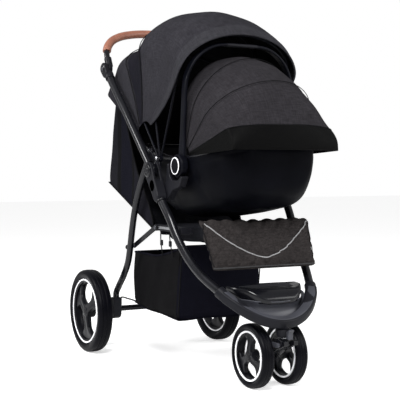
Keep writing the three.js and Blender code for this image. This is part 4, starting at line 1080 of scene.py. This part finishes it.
def make_carry_handle():
    """Flat arch over the carrier, with round ends that hold the pivot buttons."""
    half, height, corner, drop = 187 - 4.5, 364.5 - 4.5, 127.5, 26
    flat = [(half, drop), (half, (height - corner) * 0.5), (half, height - corner)]
    flat += [(half - corner + corner * math.cos(a), height - corner + corner * math.sin(a))
             for a in np.radians(np.linspace(6, 90, 15))]
    flat += [(x, height) for x in (30, 0)]
    path = mirrored([(x, h, 0) for x, h in flat[:-1]], [(0, height, 0)])
    points = [(x, CARRIER_PIVOT[0] + h * math.cos(LEAN), CARRIER_PIVOT[1] + h * math.sin(LEAN))
              for x, h, _ in path]
    section = [(a * (1 - 0.22 * (1 - (b / 13) ** 2)) if a < 0 else a, b)
               for a, b in rounded_box(9, 26, 3.6, 6)]
    sweep("carry_handle_arch", points, section, "shell", "carry_handle", 200,
          up=(0, -math.sin(LEAN), math.cos(LEAN)), slot="shell",
          replaces="carry_handle", scale=lambda t: (1.0, 1.0 + 0.34 * (1 - smooth(0.0, 0.10, min(t, 1 - t)))))
    grip = [(x, CARRIER_PIVOT[0] + (height + 0.5) * math.cos(LEAN),
             CARRIER_PIVOT[1] + (height + 0.5) * math.sin(LEAN))
            for x in np.linspace(-52, 52, 9)]
    sweep("carry_grip", grip, rounded_box(10.6, 27.2, 4.4, 6), "plastic", "carry_handle", 40,
          up=(0, -math.sin(LEAN), math.cos(LEAN)), slot="shell", bevel=1.0)
    for tag, side in SIDES:
        eye = [(7.6, side * 177), (31, side * 177), (34, side * 180), (34, side * 197), (31.6, side * 200),
               (28.2, side * 200),
               (28.0, side * 192), (7.6, side * 192), (7.6, side * 177)]
        place = (0, *CARRIER_PIVOT)
        turned(f"carry_eye_{tag}", rounded(eye, 1.6, closed=False), place, "shell", "carry_handle",
               segments=88, slot="shell")
        cap = [(0, side * 180.4), (7.2, side * 180.4), (7.2, side * 196.2), (27.5, side * 196.2),
               (27.5, side * 203.4), (25.4, side * 204.8),
               (22.0, side * 205.0), (21.0, side * 206.4), (12, side * 206.9), (0, side * 207)]
        button = turned(f"carry_button_cap_{tag}", rounded(cap, 0.8, closed=False), place, "shell",
                        f"carry_button_{tag}", segments=88,
                        slot="shell", replaces=f"carry_pivot_button_{tag}")
        ring = [(22.4, side * 204.6), (22.6, side * 205.9), (25.2, side * 205.7), (25.6, side * 204.4),
                (22.4, side * 204.6)]
        turned(f"carry_button_ring_{tag}", ring, place, "white", f"carry_button_{tag}", segments=88,
               slot="shell")


# ------------------------------------------------------------------ stuffed pieces
def inflate(mesh, voxel=7.0, pressure=4.0, cap=9.0):
    """Stuffs a closed mesh: a cloth simulation under pressure, in which no point moves farther than cap."""
    scene = bpy.context.scene
    obj = bpy.data.objects.new("stuffing", mesh)
    scene.collection.objects.link(obj)
    remesh = obj.modifiers.new("remesh", "REMESH")
    remesh.mode = "VOXEL"
    remesh.voxel_size = voxel * MM
    even = bpy.data.meshes.new_from_object(obj.evaluated_get(bpy.context.evaluated_depsgraph_get()))
    obj.modifiers.clear()
    obj.data = even
    before = np.array([v.co for v in even.vertices])
    cloth_modifier = obj.modifiers.new("cloth", "CLOTH")
    settings = cloth_modifier.settings
    settings.quality = 4
    settings.use_pressure = True
    settings.uniform_pressure_force = pressure
    settings.effector_weights.gravity = 0.0
    settings.tension_stiffness = settings.compression_stiffness = 22
    cloth_modifier.point_cache.frame_start, cloth_modifier.point_cache.frame_end = 1, 20
    for number in range(1, 21):
        scene.frame_set(number)
    puffed = bpy.data.meshes.new_from_object(obj.evaluated_get(bpy.context.evaluated_depsgraph_get()))
    after = np.array([v.co for v in puffed.vertices])
    move = after - before
    far = np.linalg.norm(move, axis=1)
    move *= np.minimum(1.0, cap * MM / np.maximum(far, 1e-9))[:, None]
    puffed.vertices.foreach_set("co", (before + move).ravel())
    puffed.update()
    scene.frame_set(1)
    bpy.data.objects.remove(obj)
    return puffed


def sew(mesh, depth):
    """Moves each vertex inwards along its normal by depth(x, y, z), all in drawing millimetres."""
    points = np.array([v.co for v in mesh.vertices]) / MM - np.array([0, ORIGIN_SHIFT_Y, 0])
    normals = np.array([v.normal for v in mesh.vertices])
    moved = [p - n * depth(*p) for p, n in zip(points, normals)]
    mesh.vertices.foreach_set("co", np.array([P(*p) for p in moved], dtype=np.float32).ravel())
    mesh.update()
    return mesh


def blocky(name, outline, half_width, inset):
    """Closed block: an outline in (y, z), smaller at its two side faces."""
    centre = np.mean(np.array(outline, float), axis=0)
    rows = []
    for x, share in ((-half_width, inset), (-half_width * 0.96, inset * 0.3), (-half_width * 0.85, 0), (0, 0),
                     (half_width * 0.85, 0),
                     (half_width * 0.96, inset * 0.3), (half_width, inset)):
        rows.append([P(x, *(np.array(p) + (centre - p) * share)) for p in outline])
    return turn_out(grid_mesh(name, rows, wrap=True, caps=True))


def quilt_depth(a, b, pitch, depth, wide):
    """Depth of diamond stitching at the point (a, b) of a face."""
    lines = [((a + b) / math.sqrt(2)) % pitch, ((a - b) / math.sqrt(2)) % pitch]
    near = [min(value, pitch - value) for value in lines]
    return depth * max(math.exp(-(value / wide) ** 2) for value in near)


LEGREST = [(-262, 480, 190, 16), (-282, 468, 197, 24), (-306, 420, 194, 26), (-330, 372, 189, 26),
           (-346, 338, 184, 20), (-348, 330, 178, 10)]


def make_legrest():
    """Padded leg rest: diamond quilting inside a pale curved piping, and a plain border."""
    line = spline([(y, z) for y, z, _, _ in LEGREST], 40)

    def along(z, column):
        return table([(row[1], row[column]) for row in LEGREST[::-1]], z)
    rows = []
    for i, (y, z) in enumerate(line):
        a, b = line[max(i - 1, 0)], line[min(i + 1, len(line) - 1)]
        t = (b - a) / np.linalg.norm(b - a)
        normal = np.array([t[1], -t[0]])
        half, thick = along(z, 2) - 5, along(z, 3) / 2 - 2.5
        ring = []
        for k in range(48):
            angle = 2 * math.pi * k / 48
            c, s = math.cos(angle), math.sin(angle)
            u, w = math.copysign(abs(c) ** 0.35, c), math.copysign(abs(s) ** 0.6, s)
            ring.append(P(u * half, *(np.array([y, z]) + normal * w * thick)))
        rows.append(ring)
    mesh = inflate(turn_out(grid_mesh("legrest_body", rows, wrap=True, caps=True)), 5.5, 4.0, 7.0)

    pitch, wide = 33, 4.6

    def curve_z(x):
        return 370 + 106 * (abs(x) / 184) ** 1.6

    def depth(x, y, z):
        if z > curve_z(x) + 4:
            return quilt_depth(x, z * 0.94, pitch, 6.4, wide)
        return quilt_depth(x, z * 0.94, pitch, 5.2, wide) if z > 342 else 0.0
    sew(mesh, depth)
    tree = BVHTree.FromPolygons([v.co for v in mesh.vertices], [p.vertices for p in mesh.polygons])

    def on_front(x, z, proud):
        hit = tree.ray_cast(P(x, -700, z), Vector((0, 1, 0)))[0]
        return None if hit is None else (x, hit.y / MM - ORIGIN_SHIFT_Y - proud, z)
    pad = put("legrest_pad", mesh, "quilt", "legrest", slot="quilt", replaces="legrest", sharp=0, subdivide=1)
    curve = [on_front(x, min(curve_z(x), 478), 0.6) for x in np.linspace(-182, 182, 61)]
    tube("legrest_pale_piping", [p for p in curve if p], 1.7, "piping", "legrest", 200, 12, slot="fabric")
    foot = min(v.co.z for v in mesh.vertices) / MM + 8
    low = [on_front(x, foot, 0.4) for x in np.linspace(-172, 172, 41)]
    tube("legrest_low_piping", [p for p in low if p], 2.2, "grey_piping", "legrest", 160, 12, slot="fabric")
    for tag, side in SIDES:
        edge = [on_front(side * 0.915 * along(z, 2), z, 0.3) for z in np.linspace(350, 466, 21)]
        tube(f"legrest_side_piping_{tag}", [p for p in edge if p], 1.6, "dark_piping", "legrest", 70, 10,
             slot="fabric")


def make_seat():
    outline = [(-246, 442), (-240, 458), (-200, 458), (26, 446), (30, 426), (16, 404), (-236, 412)]
    base = blocky("seat_base_body", rounded(outline, 10), 140, 0.12)
    mesh = inflate(base, 7.0, 4.0, 6.0)
    put("seat_cushion", mesh, "pad", "frame", slot="fabric", replaces="seat_base", sharp=0,
                  subdivide=1)
    back = blocky("backrest_body", rounded([(54, 408), (66, 426), (416, 579), (420, 594), (412, 597),
                                            (122, 484), (44, 432), (40, 414)], 6), 144, 0.03)
    mesh = inflate(back, 7.0, 4.0, 5.0)

    def depth(x, y, z):
        return quilt_depth(x, math.hypot(y, z), 60, 2.0, 3.0)
    put("backrest_cushion", sew(mesh, depth), "pad", "backrest", slot="fabric", replaces="backrest",
                  sharp=0, subdivide=1)


# ------------------------------------------------------------------ seat wall and basket
def tub_ring(front, rear, half_width, radius, counts):
    """U-shaped ring of points from the left front, round the back, to the right front."""
    (fy, fz), (ry, rz) = front, rear
    ring = []
    length = max(ry - fy, 1.0)
    r = min(radius, length * 0.45)
    side, bend, back = counts
    for a in np.linspace(0, 1, side, endpoint=False):
        share = a * (1 - r / length)
        ring.append((half_width, share))
    for a in np.linspace(0, math.pi / 2, bend, endpoint=False):
        ring.append((half_width - r + r * math.cos(a), 1 - r / length + r / length * math.sin(a)))
    for x in np.linspace(half_width - r, 0, back):
        ring.append((x, 1.0))
    ring += [(-x, share) for x, share in reversed(ring[:-1])]
    return [(x, lerp(fy, ry, share), lerp(fz, rz, share)) for x, share in ring]


# Where each strip of the wall starts, from the front, and its place in the wall's list of materials.
WALL_STRIPS = ((216, 2), (233, 3), (321, 2), (350, 1))


def make_seat_wall():
    """Soft wall round the seat back, with its strips and bound edge."""
    front = spline([(326, 905), (186, 620), (128, 552), (72, 470), (62, 436)], 60)
    rear = spline([(360, 914), (394, 800), (412, 689), (432, 600), (428, 585)], 60)
    rows = []
    for i, (f, r) in enumerate(zip(front, rear)):
        row = []
        for x, y, z in tub_ring(f, r, 161.5, 26, (40, 8, 22)):
            fold = 1.3 * math.sin(y * 0.055 + z * 0.021) + 0.8 * math.sin(z * 0.05 + y * 0.013 + 1.0)
            share = min(max((y - f[0]) / max(r[0] - f[0], 1), 0), 1)
            hollow = 3.0 * math.sin(math.pi * i / 60) * math.sin(math.pi * share)
            seam = sum(1.8 * groove(y, at, 2.5) for at, _ in WALL_STRIPS)
            side = smooth(120, 150, abs(x))
            row.append(P(x - math.copysign((fold * 0.5 + hollow + seam) * side, x),
                         y - (1 - side) * (fold + hollow), z))
        rows.append(row)
    grid = np.array(rows)

    def paint(v, u):
        across = min(int(u * len(rows[0])), len(rows[0]) - 1)
        y = grid[round(v * (len(rows) - 1))][across][1] / MM - ORIGIN_SHIFT_Y
        return next((index for at, index in reversed(WALL_STRIPS) if y >= at), 0)
    wall = put("seat_wall_cloth", grid_mesh("seat_wall_cloth", rows, paint=paint, flip=True),
               ["strip", "wall_grey", "lining", "navy", "lining"],
               "frame", slot="fabric", replaces="seat_wall", sharp=0, solid=2.0, subdivide=1)
    floor = [[P(x, y, z - 3 + 1.5 * math.sin(x * 0.05)) for x in np.linspace(-159, 159, 28)]
             for y, z in spline([(62, 434), (238, 506), (428, 584)], 30)]
    base = put("seat_wall_base", grid_mesh("seat_wall_base", floor), ["strip", "lining"], "frame",
               slot="fabric", sharp=0, solid=2.0)
    for tag, side in SIDES:
        edge = [(side * 161.5, y, z) for y, z in front[1:]]
        tube(f"seat_wall_binding_{tag}", edge, 2.8, "dark_piping", "frame", 120, 12,
                             slot="fabric")
        low = [(side * 161, y, z) for y, z in spline([(62, 434), (238, 506), (402, 573)], 30)]
        tube(f"seat_wall_low_binding_{tag}", low, 2.6, "dark_piping", "frame", 90, 12,
                             slot="fabric")


BASKET_HALF = 149


def basket_ring(fy, ry):
    """The basket seen from above, from the left side round the back: a rectangle with rounded corners."""
    corner, straight = 24, 118
    inner = BASKET_HALF - corner
    away, near = np.radians(np.linspace(12, 90, 8)), np.radians(np.linspace(0, 78, 8))
    ring = [(float(BASKET_HALF), lerp(fy + corner, ry - corner, a)) for a in np.linspace(0, 1, 44)]
    ring += [(inner + corner * math.cos(a), ry - corner + corner * math.sin(a)) for a in away]
    ring += [(x, ry) for x in np.linspace(straight, -straight, 24)]
    ring += [(-inner - corner * math.sin(a), ry - corner + corner * math.cos(a)) for a in near]
    ring += [(-float(BASKET_HALF), lerp(fy + corner, ry - corner, a)) for a in np.linspace(1, 0, 44)]
    ring += [(-inner - corner * math.cos(a), fy + corner - corner * math.sin(a)) for a in away]
    ring += [(x, fy) for x in np.linspace(-straight, straight, 24)]
    ring += [(inner + corner * math.sin(a), fy + corner - corner * math.cos(a)) for a in near]
    return ring


def make_basket():
    """Hanging basket: net sides with a bound, sagging edge, and a smooth front panel."""
    levels = np.linspace(0, 1, 44)

    def top(share):
        return table([(0, 388), (0.22, 362), (0.52, 349), (1, 345)], share)

    def low(share):
        return table([(0, 158), (0.75, 167), (1, 176)], share)
    rows = []
    for v in levels:
        fy, ry = lerp(-102, -74, v), lerp(268, 261, v)
        row = []
        for x, y in basket_ring(fy, ry):
            share = min(max((y - fy) / (ry - fy), 0), 1)
            z = lerp(top(share), low(share), v)
            wave = 1.6 * math.sin(y * 0.06 + z * 0.018) + 1.0 * math.sin(z * 0.045 + y * 0.02)
            hang = 5.0 * math.sin(math.pi * v) ** 0.7
            tuck = 12 * smooth(0.88, 1.0, v)
            inward = max(0.0, wave + 1.6) + 5.0 - hang + tuck * 0.5
            shift = 0 if 0.05 < share < 0.95 else (inward if share <= 0.05 else -inward)
            row.append(P(x * (1 - inward / BASKET_HALF), y + shift,
                         z + 2.2 * math.sin(share * 9.0) * (1 - v)))
        rows.append(row)
    points = np.array(rows)

    def paint(v, u):
        p = points[min(int(v * 43.99), 43)][min(int(u * (len(rows[0]) - 1)), len(rows[0]) - 1)]
        return 1 if p[1] / MM - ORIGIN_SHIFT_Y < lerp(-84, -52, v) else 0
    basket = put("basket_cloth", grid_mesh("basket_cloth", rows, wrap=True, paint=paint, flip=True),
                 ["net", "navy", "lining"], "frame", slot="fabric",
                 replaces="basket", sharp=0, solid=1.8, subdivide=1)
    line = np.array(rows[0] + rows[0][:1])
    rings = sweep_grid(line, circle(3.6, 12), (0, 0, 1))
    binding = put("basket_top_binding", turn_out(grid_mesh("basket_top_binding", rings, wrap=True)), "navy",
                  "frame", slot="fabric", subdivide=1)
    floor = [[P(x, y, low(min(max((y + 74) / 335, 0), 1)) + 1.5 + 2 * math.sin(x * 0.04) * math.sin(y * 0.03))
              for x in np.linspace(-139, 139, 30)]
             for y in np.linspace(-68, 256, 30)]
    base = put("basket_floor", grid_mesh("basket_floor", floor), ["navy", "lining"], "frame", slot="fabric",
               sharp=0, solid=2.0)
    for tag, side in SIDES:
        corner = [(side * 142, lerp(-97, -68, v), lerp(386, 166, v)) for v in np.linspace(0.02, 0.98, 12)]
        tube(f"basket_corner_piping_{tag}", corner, 2.0, "dark_piping", "frame", 60, 10, slot="fabric")
        for k, (y0, y1) in enumerate(((-40, -44), (20, 26))):
            strap = [(side * 157, y0, 434), (side * 155, (y0 + y1) / 2, 396), (side * 147, y1, 352)]
            tube(f"basket_strap_{tag}_{k + 1}", strap, 1.8, "webbing", "frame", 20, 10, slot="fabric")
            outline = rounded([(y0 - 6, 384), (y0 - 6, 402), (y0 + 7, 402), (y0 + 7, 384)], 3)
            plate(f"basket_buckle_{tag}_{k + 1}", outline, side * 151, side * 156.5, "gloss", "frame", 1.4,
                  slot="black_plastic")


def dress(material, *nodes):
    """Gives CAD nodes that stay in view another material and softened edges."""
    for node in nodes:
        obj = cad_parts[node]
        for holder in obj.material_slots:
            holder.material = MAT[material]
        modifier = obj.modifiers.new("edges", "BEVEL")
        modifier.width = 0.8 * MM
        modifier.segments = 2
        modifier.limit_method = "ANGLE"


# ------------------------------------------------------------------ everything
make_wheels()
make_front_frame()
make_footboard()
for tag, side in SIDES:
    make_hub(tag, side)
    make_seat_rail(tag, side)
    make_handle(tag, side)
    make_rear(tag, side)
make_handlebar()
make_rear_axle()
make_front_swivel()
make_canopy()
make_bows()
make_hood()
make_carrier()
make_carry_handle()
make_legrest()
make_seat()
make_seat_wall()
make_basket()
dress("plastic", "carrier_hood_bow")


# ------------------------------------------------------------------ floor, light and camera
def flat_material(name, colour, roughness):
    material = bpy.data.materials.new(name)
    material.use_nodes = True
    material.node_tree.nodes["Principled BSDF"].inputs["Base Color"].default_value = rgba(colour)
    material.node_tree.nodes["Principled BSDF"].inputs["Roughness"].default_value = roughness
    return material


def add_light(name, place, target, size, power, colour=(1, 1, 1)):
    data = bpy.data.lights.new(name, "AREA")
    data.shape = "DISK"
    data.size = size
    data.energy = power
    data.color = colour
    obj = bpy.data.objects.new(name, data)
    obj.location = P(*place)
    obj.rotation_euler = (P(*target) - obj.location).to_track_quat("-Z", "Y").to_euler()
    bpy.context.scene.collection.objects.link(obj)


ground = bpy.data.meshes.new("floor")
ground.from_pydata([(-15, -15, 0), (15, -15, 0), (15, 15, 0), (-15, 15, 0)], [], [(0, 1, 2, 3)])
floor_material = flat_material("floor", (0.9, 0.9, 0.9), 0.7)
floor_tree = floor_material.node_tree
glow = remap(floor_tree, link_nodes(floor_tree, "ShaderNodeLightPath").outputs["Is Camera Ray"], 0.0, 0.55,
             0.0, 1.0)
floor_tree.nodes["Principled BSDF"].inputs["Emission Color"].default_value = (1, 1, 1, 1)
floor_tree.links.new(glow, floor_tree.nodes["Principled BSDF"].inputs["Emission Strength"])
ground.materials.append(floor_material)
floor = bpy.data.objects.new("floor", ground)
bpy.context.scene.collection.objects.link(floor)

world = bpy.data.worlds.new("studio")
world.use_nodes = True
world.node_tree.nodes["Background"].inputs["Color"].default_value = (1, 1, 1, 1)
camera_ray = link_nodes(world.node_tree, "ShaderNodeLightPath").outputs["Is Camera Ray"]
strength = remap(world.node_tree, camera_ray, 0.42, 1.0, 0.0, 1.0)
world.node_tree.links.new(strength, world.node_tree.nodes["Background"].inputs["Strength"])
bpy.context.scene.world = world
add_light("key", (-1500, -2300, 2900), (0, 0, 600), 1.5, 150)
add_light("fill", (1900, -1900, 1500), (0, 0, 500), 1.8, 38)
add_light("rim", (-2300, 700, 1900), (0, 0, 600), 1.2, 60)

camera_data = bpy.data.cameras.new("camera")
camera_data.lens = 87.75
camera = bpy.data.objects.new("camera", camera_data)
camera.location = P(-1508.06, -2718.84, 625.07)
camera.rotation_euler = (P(-27.85, 0, 525.44) - camera.location).to_track_quat("-Z", "Y").to_euler()
bpy.context.scene.collection.objects.link(camera)
bpy.context.scene.camera = camera
bpy.context.scene.view_settings.view_transform = "Standard"
